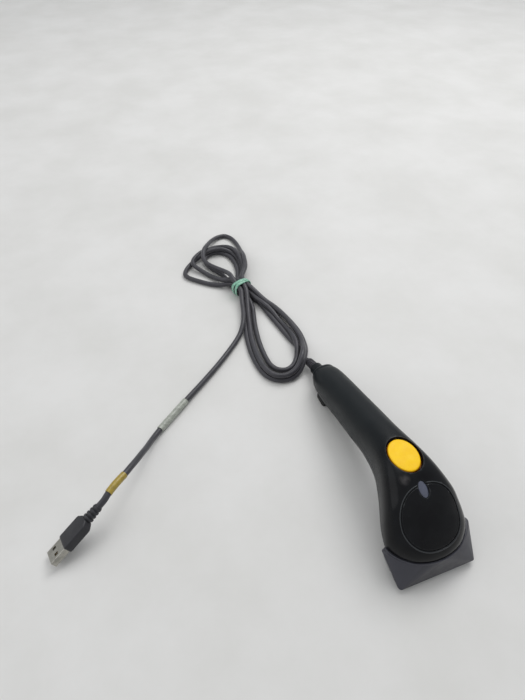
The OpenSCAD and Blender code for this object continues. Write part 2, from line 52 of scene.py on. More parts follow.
camera_data = bpy.data.cameras.new("camera")
camera_data.sensor_width = 36
camera_data.lens = 27.05
camera_data.clip_start = 0.01
camera_data.clip_end = 20
camera = bpy.data.objects.new("camera", camera_data)
scene.collection.objects.link(camera)
camera_right = Vector((0.9365, -0.3507, 0))
camera_up = Vector((0.2523, 0.6737, 0.6947))
camera_back = camera_right.cross(camera_up).normalized()
camera_place = Vector((-0.14277, -0.16197, 0.3275))
camera.matrix_world = Matrix((
    (camera_right.x, camera_up.x, camera_back.x, camera_place.x),
    (camera_right.y, camera_up.y, camera_back.y, camera_place.y),
    (camera_right.z, camera_up.z, camera_back.z, camera_place.z),
    (0, 0, 0, 1),
))
scene.camera = camera

# ---- Route of the cord, in millimetres: boot, lead, four rear and three front loops, free run ----

CORD_D = 4.4
ROUTE_KNOTS = [
    (-2.4, 103.0, 5.8), (-3.8, 110.1, 3.9), (-2.7, 117.4, 2.6), (-2.8, 124.9, 2.2),
    (-4.3, 132.2, 2.2), (-5.8, 139.5, 2.2), (-7.0, 146.9, 2.2), (-8.1, 154.4, 2.2),
    (-9.3, 161.8, 2.2), (-10.5, 169.2, 2.2), (-11.6, 176.6, 2.2), (-12.6, 184.0, 2.2),
    (-14.1, 191.4, 2.2), (-16.9, 198.3, 2.2), (-20.8, 204.6, 2.9), (-23.8, 211.5, 3.5),
    (-25.1, 218.8, 3.2), (-23.9, 226.1, 2.4), (-21.3, 233.2, 2.2), (-18.7, 240.2, 2.2),
    (-16.9, 247.4, 2.2), (-16.0, 254.9, 2.2), (-16.0, 262.4, 2.2), (-17.3, 269.7, 2.2),
    (-20.8, 276.3, 2.2), (-26.5, 281.1, 2.2), (-33.8, 281.8, 2.2), (-40.1, 277.9, 2.2),
    (-43.3, 271.3, 2.2), (-42.8, 263.9, 2.2), (-40.2, 256.9, 2.2), (-36.8, 250.2, 2.2),
    (-33.6, 243.4, 2.2), (-31.8, 236.1, 2.2), (-30.8, 228.7, 2.2), (-29.9, 221.3, 2.3),
    (-28.8, 214.0, 3.4), (-26.8, 206.8, 3.2), (-25.7, 199.4, 2.2), (-27.0, 192.1, 2.2),
    (-29.7, 185.1, 2.2), (-32.3, 178.1, 2.2), (-34.6, 170.9, 2.2), (-36.8, 163.8, 2.2),
    (-38.7, 156.5, 2.2), (-40.4, 149.2, 2.2), (-41.7, 141.8, 2.2), (-42.6, 134.4, 2.2),
    (-43.0, 126.9, 2.2), (-42.9, 119.4, 2.2), (-42.1, 111.9, 2.2), (-40.2, 104.7, 2.2),
    (-36.1, 98.5, 2.2), (-29.8, 94.6, 2.2), (-22.4, 93.6, 2.4), (-15.4, 95.6, 3.7),
    (-9.8, 99.9, 6.1), (-5.5, 105.5, 8.4), (-1.7, 111.8, 7.7), (1.3, 118.1, 5.0),
    (3.5, 125.0, 3.0), (4.9, 132.3, 2.3), (5.4, 139.8, 2.2), (5.0, 147.2, 2.2),
    (4.0, 154.7, 2.2), (2.6, 162.0, 2.2), (1.0, 169.4, 2.2), (-1.0, 176.6, 2.2),
    (-3.5, 183.7, 2.2), (-6.6, 190.5, 2.2), (-10.5, 196.9, 2.2), (-14.7, 203.0, 2.6),
    (-18.3, 209.6, 3.3), (-20.4, 216.7, 3.4), (-20.0, 224.2, 2.7), (-17.4, 231.2, 2.2),
    (-14.8, 238.2, 2.2), (-12.9, 245.5, 2.2), (-11.6, 252.8, 2.2), (-10.9, 260.3, 2.2),
    (-11.8, 267.7, 2.9), (-15.2, 274.1, 4.6), (-20.8, 278.8, 6.3), (-27.8, 281.2, 6.7),
    (-35.3, 281.1, 6.7), (-42.4, 279.2, 5.6), (-55.9, 273.7, 2.3), (-68.2, 256.2, 2.2),
    (-55.0, 239.1, 2.2), (-43.3, 229.9, 2.7), (-36.9, 226.2, 4.2), (-30.9, 222.2, 6.2),
    (-26.3, 216.5, 7.5), (-24.7, 209.3, 7.4), (-23.2, 202.1, 5.9), (-21.9, 194.9, 4.0),
    (-22.1, 187.6, 2.7), (-23.7, 180.3, 2.2), (-25.7, 173.1, 2.2), (-27.6, 165.8, 2.2),
    (-29.2, 158.5, 2.2), (-30.6, 151.1, 2.2), (-31.8, 143.7, 2.2), (-32.6, 136.3, 2.2),
    (-33.1, 128.8, 2.2), (-33.2, 121.3, 2.2), (-32.5, 113.8, 2.2), (-29.2, 107.2, 2.2),
    (-22.7, 103.9, 2.2), (-15.6, 105.9, 2.4), (-10.3, 111.1, 3.2), (-6.7, 117.5, 4.7),
    (-4.3, 124.4, 6.3), (-3.0, 131.8, 6.3), (-2.6, 139.2, 5.1), (-2.9, 146.4, 3.4),
    (-3.7, 153.8, 2.4), (-4.9, 161.2, 2.4), (-6.3, 168.5, 3.3), (-8.2, 175.6, 4.9),
    (-11.0, 182.4, 6.2), (-14.0, 189.3, 6.5), (-16.7, 196.3, 6.4), (-18.7, 203.5, 6.7),
    (-20.8, 210.7, 7.2), (-22.8, 217.9, 7.0), (-21.2, 225.1, 6.8), (-17.3, 231.5, 6.6),
    (-13.5, 237.9, 6.4), (-11.1, 245.0, 6.2), (-9.9, 252.4, 6.2), (-9.5, 259.9, 6.3),
    (-9.7, 267.4, 6.8), (-11.8, 274.5, 7.3), (-16.0, 280.7, 7.0), (-22.3, 284.6, 6.1),
    (-29.5, 286.2, 5.5), (-36.9, 285.0, 5.1), (-44.2, 283.3, 5.3), (-57.0, 268.1, 5.7),
    (-46.9, 248.5, 2.5), (-43.2, 242.0, 3.1), (-40.0, 235.5, 4.8), (-36.5, 229.4, 7.4),
    (-31.3, 224.7, 9.8), (-25.7, 219.9, 10.9), (-22.7, 213.2, 11.8), (-22.0, 205.8, 10.8),
    (-23.2, 198.6, 9.4), (-25.3, 191.7, 7.4), (-27.4, 184.6, 6.0), (-29.5, 177.4, 5.3),
    (-31.4, 170.2, 4.8), (-33.2, 163.0, 4.4), (-35.0, 155.7, 4.1), (-36.6, 148.4, 4.0),
    (-37.9, 141.0, 4.1), (-38.9, 133.6, 4.5), (-39.6, 126.1, 5.0), (-39.8, 118.6, 5.4),
    (-39.4, 111.2, 5.8), (-37.6, 103.9, 6.1), (-33.4, 97.8, 6.3), (-26.6, 95.0, 6.5),
    (-19.3, 96.0, 7.4), (-13.1, 99.7, 9.4), (-8.4, 104.9, 11.9), (-4.4, 111.1, 12.0),
    (-1.4, 117.6, 9.7), (0.8, 124.3, 7.3), (2.3, 131.5, 6.0), (2.8, 139.0, 5.6),
    (2.4, 146.5, 5.5), (1.5, 153.9, 5.6), (0.3, 161.3, 5.7), (-1.5, 168.6, 5.6),
    (-3.7, 175.8, 5.5), (-6.3, 182.8, 5.5), (-9.3, 189.6, 6.1), (-12.3, 196.3, 7.7),
    (-15.3, 202.9, 9.7), (-18.0, 209.7, 10.9), (-20.3, 216.8, 10.6), (-19.3, 224.2, 10.6),
    (-15.7, 230.8, 10.6), (-11.8, 237.1, 10.3), (-9.2, 244.1, 9.9), (-7.5, 251.4, 9.7),
    (-5.9, 258.7, 8.6), (-4.9, 265.8, 6.5), (-4.3, 273.0, 4.5), (-3.7, 280.3, 3.1),
    (-3.5, 287.8, 2.4), (-4.2, 295.2, 2.2), (-6.3, 302.4, 2.2), (-11.1, 308.0, 2.2),
    (-18.3, 307.7, 2.6), (-24.6, 303.7, 3.7), (-29.5, 298.3, 5.4), (-33.6, 292.4, 7.3),
    (-37.6, 286.3, 9.2), (-41.5, 280.0, 10.3), (-44.4, 273.1, 9.9), (-45.8, 265.8, 9.2),
    (-44.3, 258.6, 8.5), (-40.3, 252.3, 8.1), (-35.9, 246.2, 8.2), (-32.4, 239.7, 9.4),
    (-30.8, 232.8, 11.8), (-30.4, 225.7, 14.1), (-29.5, 218.5, 13.0), (-27.7, 211.6, 11.0),
    (-27.0, 204.3, 10.1), (-28.9, 197.2, 8.3), (-30.8, 190.1, 7.0), (-32.6, 182.9, 6.4),
    (-34.7, 175.7, 6.3), (-37.3, 168.7, 6.1), (-40.8, 162.1, 4.9), (-45.0, 156.2, 3.2),
    (-55.4, 145.5, 2.2), (-72.0, 130.3, 2.3), (-89.4, 116.1, 2.3), (-107.1, 102.1, 2.8),
    (-116.0, 95.0, 2.85), (-125.0, 87.8, 2.85), (-134.0, 80.6, 2.85), (-141.0, 72.5, 5.2),
    (-145.9, 64.4, 9.6), (-150.0, 57.8, 13.7), (-154.4, 51.2, 17.4), (-158.9, 45.2, 20.5),
    (-163.7, 39.6, 22.6), (-170.3, 33.5, 24.1), (-176.0, 28.2, 24.2), (-179.4, 25.0, 23.2),
    (-183.6, 23.1, 21.0),
]


def smooth_line(knots, step):
    """A curve through the knots, with points about step apart."""
    p = np.vstack([2 * knots[0] - knots[1], knots, 2 * knots[-1] - knots[-2]])
    found = []
    for a, b, c, d in zip(p[:-3], p[1:-2], p[2:-1], p[3:]):
        t1 = np.linalg.norm(b - a) ** 0.5
        t2 = t1 + np.linalg.norm(c - b) ** 0.5
        t3 = t2 + np.linalg.norm(d - c) ** 0.5
        t = np.linspace(t1, t2, 12, endpoint=False)[:, None]
        ab = (t1 - t) / t1 * a + t / t1 * b
        bc = (t2 - t) / (t2 - t1) * b + (t - t1) / (t2 - t1) * c
        cd = (t3 - t) / (t3 - t2) * c + (t - t2) / (t3 - t2) * d
        abc = (t2 - t) / t2 * ab + t / t2 * bc
        bcd = (t3 - t) / (t3 - t1) * bc + (t - t1) / (t3 - t1) * cd
        found.append((t2 - t) / (t2 - t1) * abc + (t - t1) / (t2 - t1) * bcd)
    found.append(p[-2:-1])
    line = np.vstack(found)
    along = np.concatenate([[0], np.cumsum(np.linalg.norm(np.diff(line, axis=0), axis=1))])
    at = np.linspace(0, along[-1], int(round(along[-1] / step)) + 1)
    return np.stack([np.interp(at, along, line[:, k]) for k in range(3)], axis=1)


route = smooth_line(np.array(ROUTE_KNOTS, float), 2.0)
route[:, 2] = np.maximum(route[:, 2], CORD_D / 2 + 0.02)

# ---- Materials ----


def srgb(r, g, b):
    """Linear colour of an 8-bit screen colour."""
    values = [v / 255 for v in (r, g, b)]
    return tuple(v / 12.92 if v <= 0.04045 else ((v + 0.055) / 1.055) ** 2.4 for v in values)


def toned(colour, times, plus=0.0):
    """The colour made lighter or darker."""
    return tuple(min(1, v * times + plus) for v in colour)


class Finish:
    """A procedural material in the making. Lengths are in millimetres."""

    def __init__(self, name, rough=0.5, metallic=0.0, **sockets):
        self.material = bpy.data.materials.new(name)
        self.material.use_nodes = True
        self.tree = self.material.node_tree
        self.shader = self.tree.nodes["Principled BSDF"]
        self.shader.inputs["Roughness"].default_value = rough
        self.shader.inputs["Metallic"].default_value = metallic
        for name, value in sockets.items():
            self.shader.inputs[name.replace("_", " ")].default_value = value
        self.place = self.node("ShaderNodeTexCoord").outputs["Object"]
        self.normal = None

    def node(self, kind, **inputs):
        made = self.tree.nodes.new(kind)
        for name, value in inputs.items():
            self.put(value, made.inputs[name])
        return made

    def put(self, value, socket):
        if isinstance(value, bpy.types.NodeSocket):
            self.tree.links.new(value, socket)
        else:
            socket.default_value = value

    def noise(self, size, detail=3.0, roughness=0.55, stretch=(1, 1, 1), shift=0.0):
        """Noise whose blots are about size across, longer where stretch is more than 1."""
        moved = self.node("ShaderNodeMapping", Vector=self.place)
        moved.inputs["Location"].default_value = (shift, shift * 1.7, shift * 0.6)
        moved.inputs["Scale"].default_value = tuple(1 / (s * size * MM) for s in stretch)
        return self.node("ShaderNodeTexNoise", Vector=moved.outputs[0], Scale=1.0,
                         Detail=detail, Roughness=roughness).outputs[0]

    def span(self, value, low, high, to_low=0.0, to_high=1.0):
        """The value moved from low..high to to_low..to_high, and kept inside it."""
        made = self.node("ShaderNodeMapRange", Value=value)
        for name, number in (("From Min", low), ("From Max", high),
                             ("To Min", to_low), ("To Max", to_high)):
            made.inputs[name].default_value = number
        return made.outputs[0]

    def math(self, kind, a, b):
        made = self.tree.nodes.new("ShaderNodeMath")
        made.operation = kind
        self.put(a, made.inputs[0])
        self.put(b, made.inputs[1])
        return made.outputs[0]

    def mixed(self, share, a, b):
        """Colour a where share is 0, and b where it is 1."""
        made = self.tree.nodes.new("ShaderNodeMix")
        made.data_type = "RGBA"
        self.put(share, made.inputs[0])
        for colour, socket in ((a, made.inputs[6]), (b, made.inputs[7])):
            self.put(colour if isinstance(colour, bpy.types.NodeSocket) else (*colour, 1), socket)
        return made.outputs[2]

    def bump(self, height, depth, strength=1.0):
        made = self.node("ShaderNodeBump", Height=height, Distance=depth * MM, Strength=strength)
        if self.normal:
            self.put(self.normal, made.inputs["Normal"])
        self.normal = made.outputs[0]

    def axis(self, letter):
        split = self.node("ShaderNodeSeparateXYZ", Vector=self.place)
        return split.outputs["XYZ".index(letter)]

    def edges(self):
        """1 on outward edges, where handling wears the surface and where painted highlight is put.
        """
        return self.span(self.node("ShaderNodeNewGeometry").outputs["Pointiness"], 0.512, 0.55)

    def done(self, colour, rough=None):
        self.put(colour, self.shader.inputs["Base Color"])
        if rough is not None:
            self.put(rough, self.shader.inputs["Roughness"])
        if self.normal:
            self.put(self.normal, self.shader.inputs["Normal"])
        return self.material


def moulded(name, colour, rough, grain=0.35, depth=0.012, patch=14, scuff=0.25, wear_and_highlight=0.35):
    """Moulded plastic: fine grain, cloudy tone, hair scratches and lighter edges, which are wear
    and, at a high share, painted highlight.
    """
    f = Finish(name, rough)
    cloud = f.span(f.noise(patch, 4), 0.35, 0.65)
    shade = f.mixed(cloud, toned(colour, 0.84), toned(colour, 1.16))
    return handled(f, shade, colour, rough, grain, depth, scuff, wear_and_highlight)


def handled(f, shade, colour, rough, grain, depth, scuff, wear_and_highlight):
    """Ends a moulded finish with scratches, lighter edges (wear, and painted highlight at a high
    share), grain and smears.
    """
    hairs = f.noise(1.0, 2, 0.4, (0.22, 9, 2.4), 0.3)
    other = f.noise(1.0, 2, 0.4, (7, 0.3, 1.8), 0.7)
    lines = f.math("MAXIMUM", f.span(hairs, 0.69, 0.74), f.span(other, 0.7, 0.75))
    marks = f.math("MULTIPLY", lines, f.span(f.noise(9, 2, shift=0.9), 0.45, 0.62, 0, scuff))
    light = toned(colour, 2.2, 0.02)
    shade = f.mixed(marks, shade, light)
    # Edges lightened: wear, and at a high share a painted highlight
    shade = f.mixed(f.math("MULTIPLY", f.edges(), wear_and_highlight), shade, light)
    fine = f.noise(grain, 2, 0.6)
    f.bump(fine, depth)
    f.bump(f.math("MULTIPLY", lines, -1.0), 0.006, 0.5)
    smears = f.span(f.noise(5, 5, 0.65, (1, 2.2, 1), 0.2), 0.35, 0.7, -0.06, 0.09)
    rough = f.math("ADD", smears, rough)
    return f.done(shade, f.math("ADD", rough, f.math("MULTIPLY", fine, 0.06)))


SCUFF_PLACE = (-0.0084, -0.0412, 0.0515)


def case_finish():
    """Case: black plastic, satin on the handle and glossy on the head, its colour darker on the
    head as painted shade and lighter on the handle as painted sheen, with a dull scuff by the lens.
    """
    f = Finish("case_black", 0.4, Specular_IOR_Level=0.2)
    cloud = f.noise(14, 4)
    along = f.span(f.math("ADD", f.axis("Y"), f.math("MULTIPLY", cloud, 0.02)), -0.034, 0.02)
    # Painted shade and sheen: the head gets a darker colour and the handle a lighter one, for one
    # plastic lit differently
    colour = f.mixed(along, srgb(6, 6, 9), srgb(19, 24, 27))
    shade = f.mixed(f.span(cloud, 0.35, 0.65, 0, 0.25), colour, srgb(32, 35, 37))
    away = f.tree.nodes.new("ShaderNodeVectorMath")
    away.operation = "DISTANCE"
    f.put(f.place, away.inputs[0])
    away.inputs[1].default_value = SCUFF_PLACE
    near = f.span(away.outputs["Value"], 0.0005, 0.0042, 1, 0)
    spot = f.math("MULTIPLY", near, f.span(f.noise(4, 3), 0.3, 0.7))
    shade = f.mixed(f.math("MULTIPLY", spot, 0.42), shade, srgb(104, 100, 100))
    rough = f.math("ADD", f.span(along, 0, 1, 0.17, 0.36), f.math("MULTIPLY", spot, 0.3))
    # Edges lightened at 0.85: a painted highlight along the panel lip and edges, with some wear
    return handled(f, shade, srgb(30, 32, 34), rough, 0.35, 0.01, 0.22, 0.85)


def metal(name, colour, rough, brushed=(1, 12, 1), depth=0.004):
    """Bare or plated metal with drawn lines and dull spots."""
    f = Finish(name, rough, 1.0)
    lines = f.noise(0.12, 3, 0.6, brushed)
    spots = f.noise(2.6, 4, 0.6, shift=0.5)
    shade = f.mixed(f.span(spots, 0.4, 0.7), colour, toned(colour, 0.72))
    f.bump(lines, depth)
    return f.done(shade, f.math("ADD", f.span(lines, 0.3, 0.7, rough - 0.06, rough + 0.08),
                                f.span(spots, 0.45, 0.7, 0, 0.12)))


def clear(name, colour, rough, through, **sockets):
    """Clear or smoky plastic and glass, with faint smears and dust."""
    f = Finish(name, rough, **sockets)
    f.shader.inputs["Transmission Weight"].default_value = through
    smears = f.noise(3, 4, 0.6)
    dust = f.span(f.noise(0.5, 2, 0.5, shift=0.4), 0.7, 0.78)
    shade = f.mixed(f.span(smears, 0.35, 0.65), colour, toned(colour, 0.85))
    shade = f.mixed(f.math("MULTIPLY", dust, 0.4), shade, toned(colour, 0.5, 0.4))
    f.bump(smears, 0.01)
    return f.done(shade, f.span(smears, 0.35, 0.7, rough, rough + 0.08))


def circuit(name):
    """Solder mask with tracks, pads and a fine ripple."""
    f = Finish(name, 0.35, Coat_Weight=0.4)
    tracks = f.tree.nodes.new("ShaderNodeTexBrick")
    moved = f.node("ShaderNodeMapping", Vector=f.place)
    moved.inputs["Scale"].default_value = (260, 260, 260)
    f.put(moved.outputs[0], tracks.inputs["Vector"])
    tracks.inputs["Mortar Size"].default_value = 0.06
    pads = f.node("ShaderNodeTexVoronoi", Vector=f.place, Scale=420.0).outputs[0]
    copper = f.mixed(tracks.outputs["Fac"], srgb(10, 92, 56), srgb(26, 128, 78))
    shade = f.mixed(f.span(pads, 0.1, 0.14, 1, 0), copper, srgb(205, 180, 120))
    f.bump(tracks.outputs["Fac"], 0.02)
    f.bump(f.noise(0.4, 3), 0.006)
    return f.done(shade, f.span(f.noise(3, 3), 0.3, 0.7, 0.28, 0.45))


def jacket(name, colour, rough):
    """Cord jacket: extruded skin, slightly uneven, with cloudy tone and dust."""
    f = Finish(name, rough, Sheen_Weight=0.15, Sheen_Roughness=0.5)
    cloud = f.noise(7, 4)
    shade = f.mixed(f.span(cloud, 0.3, 0.7), toned(colour, 0.8), toned(colour, 1.2))
    dust = f.span(f.noise(0.7, 3, 0.6, shift=0.8), 0.6, 0.72, 0, 0.3)
    shade = f.mixed(dust, shade, toned(colour, 2, 0.05))
    f.bump(f.noise(0.25, 2, 0.6), 0.01)
    f.bump(f.noise(2.5, 3, 0.5, shift=0.1), 0.03)
    patches = f.noise(2.2, 3, 0.6, shift=0.6)
    return f.done(shade, f.span(patches, 0.35, 0.7, rough - 0.1, rough + 0.12))


def button_finish():
    """Yellow button, with painted shade as deeper orange down its side, and thumb polish on its
    crown.
    """
    f = Finish("button_yellow", 0.45, Specular_IOR_Level=0.22)
    cloud = f.noise(6, 4)
    face = f.mixed(f.span(cloud, 0.35, 0.65), srgb(252, 200, 10), srgb(255, 208, 14))
    # Painted shade: the side below the crown's edge is coloured deeper orange
    side = srgb(206, 118, 6)
    shade = f.mixed(f.span(f.axis("Z"), 0.0519, 0.0527), side, face)
    grime = f.span(f.noise(0.5, 3, 0.6, shift=0.3), 0.62, 0.72, 0, 0.22)
    shade = f.mixed(grime, shade, srgb(196, 140, 20))
    hairs = f.span(f.noise(1.0, 2, 0.4, (0.2, 8, 2), 0.5), 0.68, 0.74)
    shade = f.mixed(f.math("MULTIPLY", hairs, 0.25), shade, srgb(255, 226, 120))
    f.bump(f.noise(0.3, 2, 0.6), 0.008)
    f.bump(hairs, -0.004)
    return f.done(shade, f.span(f.noise(4, 4, 0.6), 0.35, 0.7, 0.4, 0.55))


def film(name, colour, rough, streak=(1, 1, 1)):
    """Thin wrapped film with creases and slight soiling."""
    f = Finish(name, rough, Coat_Weight=0.5, Coat_Roughness=0.25)
    cloud = f.noise(2.4, 4, 0.6, streak)
    soil = f.span(f.noise(1.1, 4, 0.65, shift=0.7), 0.5, 0.72, 0, 0.5)
    shade = f.mixed(f.span(cloud, 0.35, 0.65), toned(colour, 0.82), toned(colour, 1.15))
    shade = f.mixed(soil, shade, toned(colour, 0.45))
    f.bump(f.noise(1.3, 4, 0.6, (1.6, 0.7, 1)), 0.12)
    f.bump(f.noise(0.25, 2), 0.01)
    return f.done(shade, f.span(cloud, 0.35, 0.7, rough - 0.08, rough + 0.12))


def wound(name):
    """Fine enamelled wire, wound in rings round the Y axis."""
    f = Finish(name, 0.3, 1.0)
    rings = f.node("ShaderNodeTexWave", Vector=f.place, Scale=900.0, Distortion=0.4)
    rings.bands_direction = "Y"
    f.bump(rings.outputs["Fac"], 0.05)
    shade = f.mixed(rings.outputs["Fac"], srgb(120, 58, 28), srgb(214, 128, 74))
    return f.done(shade, f.span(f.noise(0.5, 3), 0.3, 0.7, 0.22, 0.4))


def band_finish():
    """Stretchy green band, slightly see-through, with creases."""
    f = Finish("tie_green", 0.32, Transmission_Weight=0.12, Coat_Weight=0.3, Coat_Roughness=0.2)
    cloud = f.noise(1.6, 4, 0.6)
    shade = f.mixed(f.span(cloud, 0.35, 0.65), srgb(108, 170, 145), srgb(166, 214, 190))
    f.bump(f.noise(0.9, 3, 0.6, (1, 1, 3)), 0.12)
    f.bump(f.noise(0.2, 2), 0.01)
    return f.done(shade, f.span(cloud, 0.35, 0.7, 0.25, 0.45))


FINISHES = {
    "case_plastic": case_finish(),
    # Edges lightened at 0.8: a painted highlight along the bead and edges, with some wear
    "bumper_plastic": moulded("bumper_slate", srgb(32, 32, 40), 0.32,
                              grain=0.45, scuff=0.35, wear_and_highlight=0.8),
    "window": clear("window_red", srgb(96, 12, 22), 0.06, 0.55, Coat_Weight=0.5, IOR=1.5),
    "gasket": moulded("gasket_foam", srgb(20, 20, 20), 0.85, grain=0.4, depth=0.09, scuff=0),
    "button": button_finish(),
    "inner_plastic": moulded("inner_black", srgb(38, 38, 40), 0.55, grain=0.5, depth=0.02),
    "light_pipe": clear("lens_smoke", srgb(92, 97, 116), 0.14, 0.25, Coat_Weight=0.6),
    "led": clear("led_body", srgb(226, 224, 210), 0.2, 0.2),
    "circuit_board": circuit("board_green"),
    "chip_epoxy": moulded("chip_black", srgb(30, 30, 32), 0.6, grain=0.15, depth=0.01, patch=4),
    "brass_barrel": metal("barrel_brass", srgb(212, 178, 104), 0.24, (12, 1, 12)),
    "steel": metal("screw_steel", srgb(186, 186, 184), 0.26, (4, 4, 0.6)),
    "mirror_glass": metal("mirror_silver", srgb(232, 236, 240), 0.03, depth=0.0005),
    "magnet": metal("magnet_plate", srgb(160, 160, 164), 0.16, (2, 2, 2)),
    "copper_coil": wound("coil_copper"),
    "filter": clear("filter_red", srgb(110, 14, 26), 0.1, 0.3),
    "clear_plastic": clear("plug_clear", srgb(220, 226, 230), 0.1, 0.85, IOR=1.49),
    "foot_rubber": moulded("foot_black", srgb(24, 24, 25), 0.72, 0.5, 0.05, scuff=0.15, wear_and_highlight=0.25),
    "cord_jacket": jacket("cord_grey", srgb(50, 49, 55), 0.42),
    "tie_band": band_finish(),
    "sleeve_film": film("sleeve_grey", srgb(158, 162, 152), 0.3, (1.6, 0.6, 1)),
    "label_film": film("label_olive", srgb(160, 136, 40), 0.36),
    "plug_plastic": moulded("plug_black", srgb(28, 28, 33), 0.45, grain=0.3, depth=0.015, patch=6),
    "plug_shell": metal("shell_nickel", srgb(172, 170, 162), 0.26, (12, 1, 1)),
    "plug_tongue": moulded("tongue_white", srgb(226, 226, 220), 0.4, 0.2, 0.006, scuff=0.1),
    "gold_contact": metal("contact_gold", srgb(226, 190, 110), 0.2, (8, 1, 1)),
}
slot_of = {part["node"]: part["material_slot"] for part in frame["record"]["subparts"]}
for name, cad in nodes.items():
    cad.data.materials.clear()
    cad.data.materials.append(FINISHES[slot_of[name]])

# ---- Mesh helpers, all in millimetres ----


def made(name, points, faces):
    """A bare object from points and faces."""
    mesh = bpy.data.meshes.new(name)
    mesh.from_pydata([tuple(float(v) * MM for v in p) for p in points], [],
                     [tuple(int(i) for i in f) for f in faces])
    obj = bpy.data.objects.new(name, mesh)
    scene.collection.objects.link(obj)
    return obj


def evened(obj):
    """Normals outwards and doubled points joined."""
    work = bmesh.new()
    work.from_mesh(obj.data)
    bmesh.ops.remove_doubles(work, verts=work.verts, dist=1e-7)
    bmesh.ops.recalc_face_normals(work, faces=work.faces)
    work.to_mesh(obj.data)
    work.free()
    return obj


def applied(obj):
    """The object with its modifiers turned into mesh."""
    graph = bpy.context.evaluated_depsgraph_get()
    shape = bpy.data.meshes.new_from_object(obj.evaluated_get(graph))
    old = obj.data
    obj.modifiers.clear()
    obj.data = shape
    bpy.data.meshes.remove(old)
    return obj


def cut(obj, *cutters):
    """Takes each cutter out of the object."""
    for cutter in cutters:
        step = obj.modifiers.new("cut", "BOOLEAN")
        step.operation = "DIFFERENCE"
        step.solver = "EXACT"
        step.object = cutter
        applied(obj)
        bpy.data.objects.remove(cutter)
    return obj


def joined(obj, other):
    """Adds the other object's mesh to the object."""
    work = bmesh.new()
    work.from_mesh(obj.data)
    work.from_mesh(other.data)
    work.to_mesh(obj.data)
    work.free()
    bpy.data.objects.remove(other)
    return obj


def piece(obj, slot, body="case", stands_for=(), angle=32, weighted=False):
    """Gives a made object its finish, its shading and its body, and hides the CAD parts it stands
    for.
    """
    obj.data.materials.clear()
    obj.data.materials.append(FINISHES[slot])
    if obj.type == "MESH":
        obj.data.shade_smooth()
        obj.data.set_sharp_from_angle(angle=math.radians(angle))
        if weighted:
            step = obj.modifiers.new("weights", "WEIGHTED_NORMAL")
            step.keep_sharp = True
    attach(obj, body)
    if stands_for:
        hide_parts(*stands_for)
    return obj


def skinned(rings, closed_rings=True, low_cap=True, high_cap=True, first=0):
    """Faces between rings of equal length, with points numbered from first."""
    count, around = len(rings), len(rings[0])
    faces = []
    for i in range(count - 1):
        for j in range(around if closed_rings else around - 1):
            a, b = first + i * around + j, first + i * around + (j + 1) % around
            faces.append((a, b, b + around, a + around))
    if low_cap:
        faces.append([first + j for j in range(around)][::-1])
    if high_cap:
        faces.append([first + (count - 1) * around + j for j in range(around)])
    return faces


def lofted(name, rings, **caps):
    """A skin over rings of equal length, closed at both ends unless caps says otherwise."""
    return evened(made(name, [p for ring in rings for p in ring], skinned(rings, **caps)))


def oval_ring(a, b, z, count=96, centre=(0, 0)):
    turn = np.linspace(0, 2 * math.pi, count, endpoint=False)
    return [(centre[0] + a * math.cos(t), centre[1] + b * math.sin(t), z) for t in turn]


def placed(obj, matrix):
    """Moves the mesh by a matrix whose shift is in millimetres."""
    matrix = matrix.copy()
    matrix.translation = matrix.translation * MM
    obj.data.transform(matrix)
    return obj


def turned(profile, name, count=64):
    """A solid of revolution round Z from (radius, height) points."""
    rings = [oval_ring(max(r, 1e-3), max(r, 1e-3), z, count) for r, z in profile]
    return lofted(name, rings)


def circle(r, count=40):
    turn = np.linspace(0, 2 * math.pi, count, endpoint=False)
    return [(r * math.cos(t), r * math.sin(t)) for t in turn]


def frames_along(path):
    """Each point of a path, with the directions across it and up from it."""
    ahead = np.gradient(path, axis=0)
    ahead /= np.linalg.norm(ahead, axis=1)[:, None]
    found = []
    for p, t in zip(path, ahead):
        across = np.cross(t, (0, 0, 1))
        across /= np.linalg.norm(across)
        found.append((p, across, np.cross(across, t)))
    return found


def swept(name, path, ring):
    """One ring of (across, up) offsets carried along a path."""
    frames = frames_along(np.asarray(path, float))
    return lofted(name, [[p + u * across + v * up for u, v in ring] for p, across, up in frames])


# ---- The cord ----

curve = bpy.data.curves.new("cord", "CURVE")
curve.dimensions = "3D"
curve.bevel_depth = CORD_D / 2 * MM
curve.bevel_resolution = 8
curve.use_fill_caps = True
spline = curve.splines.new("POLY")
spline.points.add(len(route) - 1)
for point, place in zip(spline.points, route):
    point.co = (*(place * MM), 1)
spline.use_smooth = True
cord = bpy.data.objects.new("cord", curve)
scene.collection.objects.link(cord)
piece(cord, "cord_jacket", stands_for=("cord_lead", "cord_hank", "cord_free_run"))

# ---- The case ----

# Place along, half width, underside, top, height of the widest line, exponent above it
PROFILE = np.array([
    (-80.5, 6, 17.5, 20.5, 19, 2.4), (-77.5, 14.6, 13, 26, 19, 2.4),
    (-73, 20.8, 9.5, 32, 19, 2.4), (-68, 25, 7.5, 37, 18.6, 2.3),
    (-63.5, 26.8, 7, 40.6, 18.4, 2.2), (-57, 26, 8, 45.6, 20.7, 2.6),
    (-50, 24.2, 10, 49.9, 24.2, 3), (-36, 19.2, 15, 54.2, 32, 3.2),
    (-22, 15.2, 18.6, 54.7, 35.5, 3.1), (-4, 13.2, 18.3, 50.9, 33.5, 2.6),
    (16, 13, 14, 44.8, 28, 2.5), (36, 12.5, 8.6, 38.6, 22.5, 2.5),
    (56, 12.4, 3.6, 32, 17, 2.5), (72, 11.7, 2, 26.3, 13.5, 2.5),
    (80, 9.3, 3.6, 22.6, 12.5, 2.5), (84, 5.8, 8, 18.5, 13, 2.5),
], float)
LOWER_POWER = 2.1
WALL = 2.2
AROUND, INNER_AROUND = 104, 32
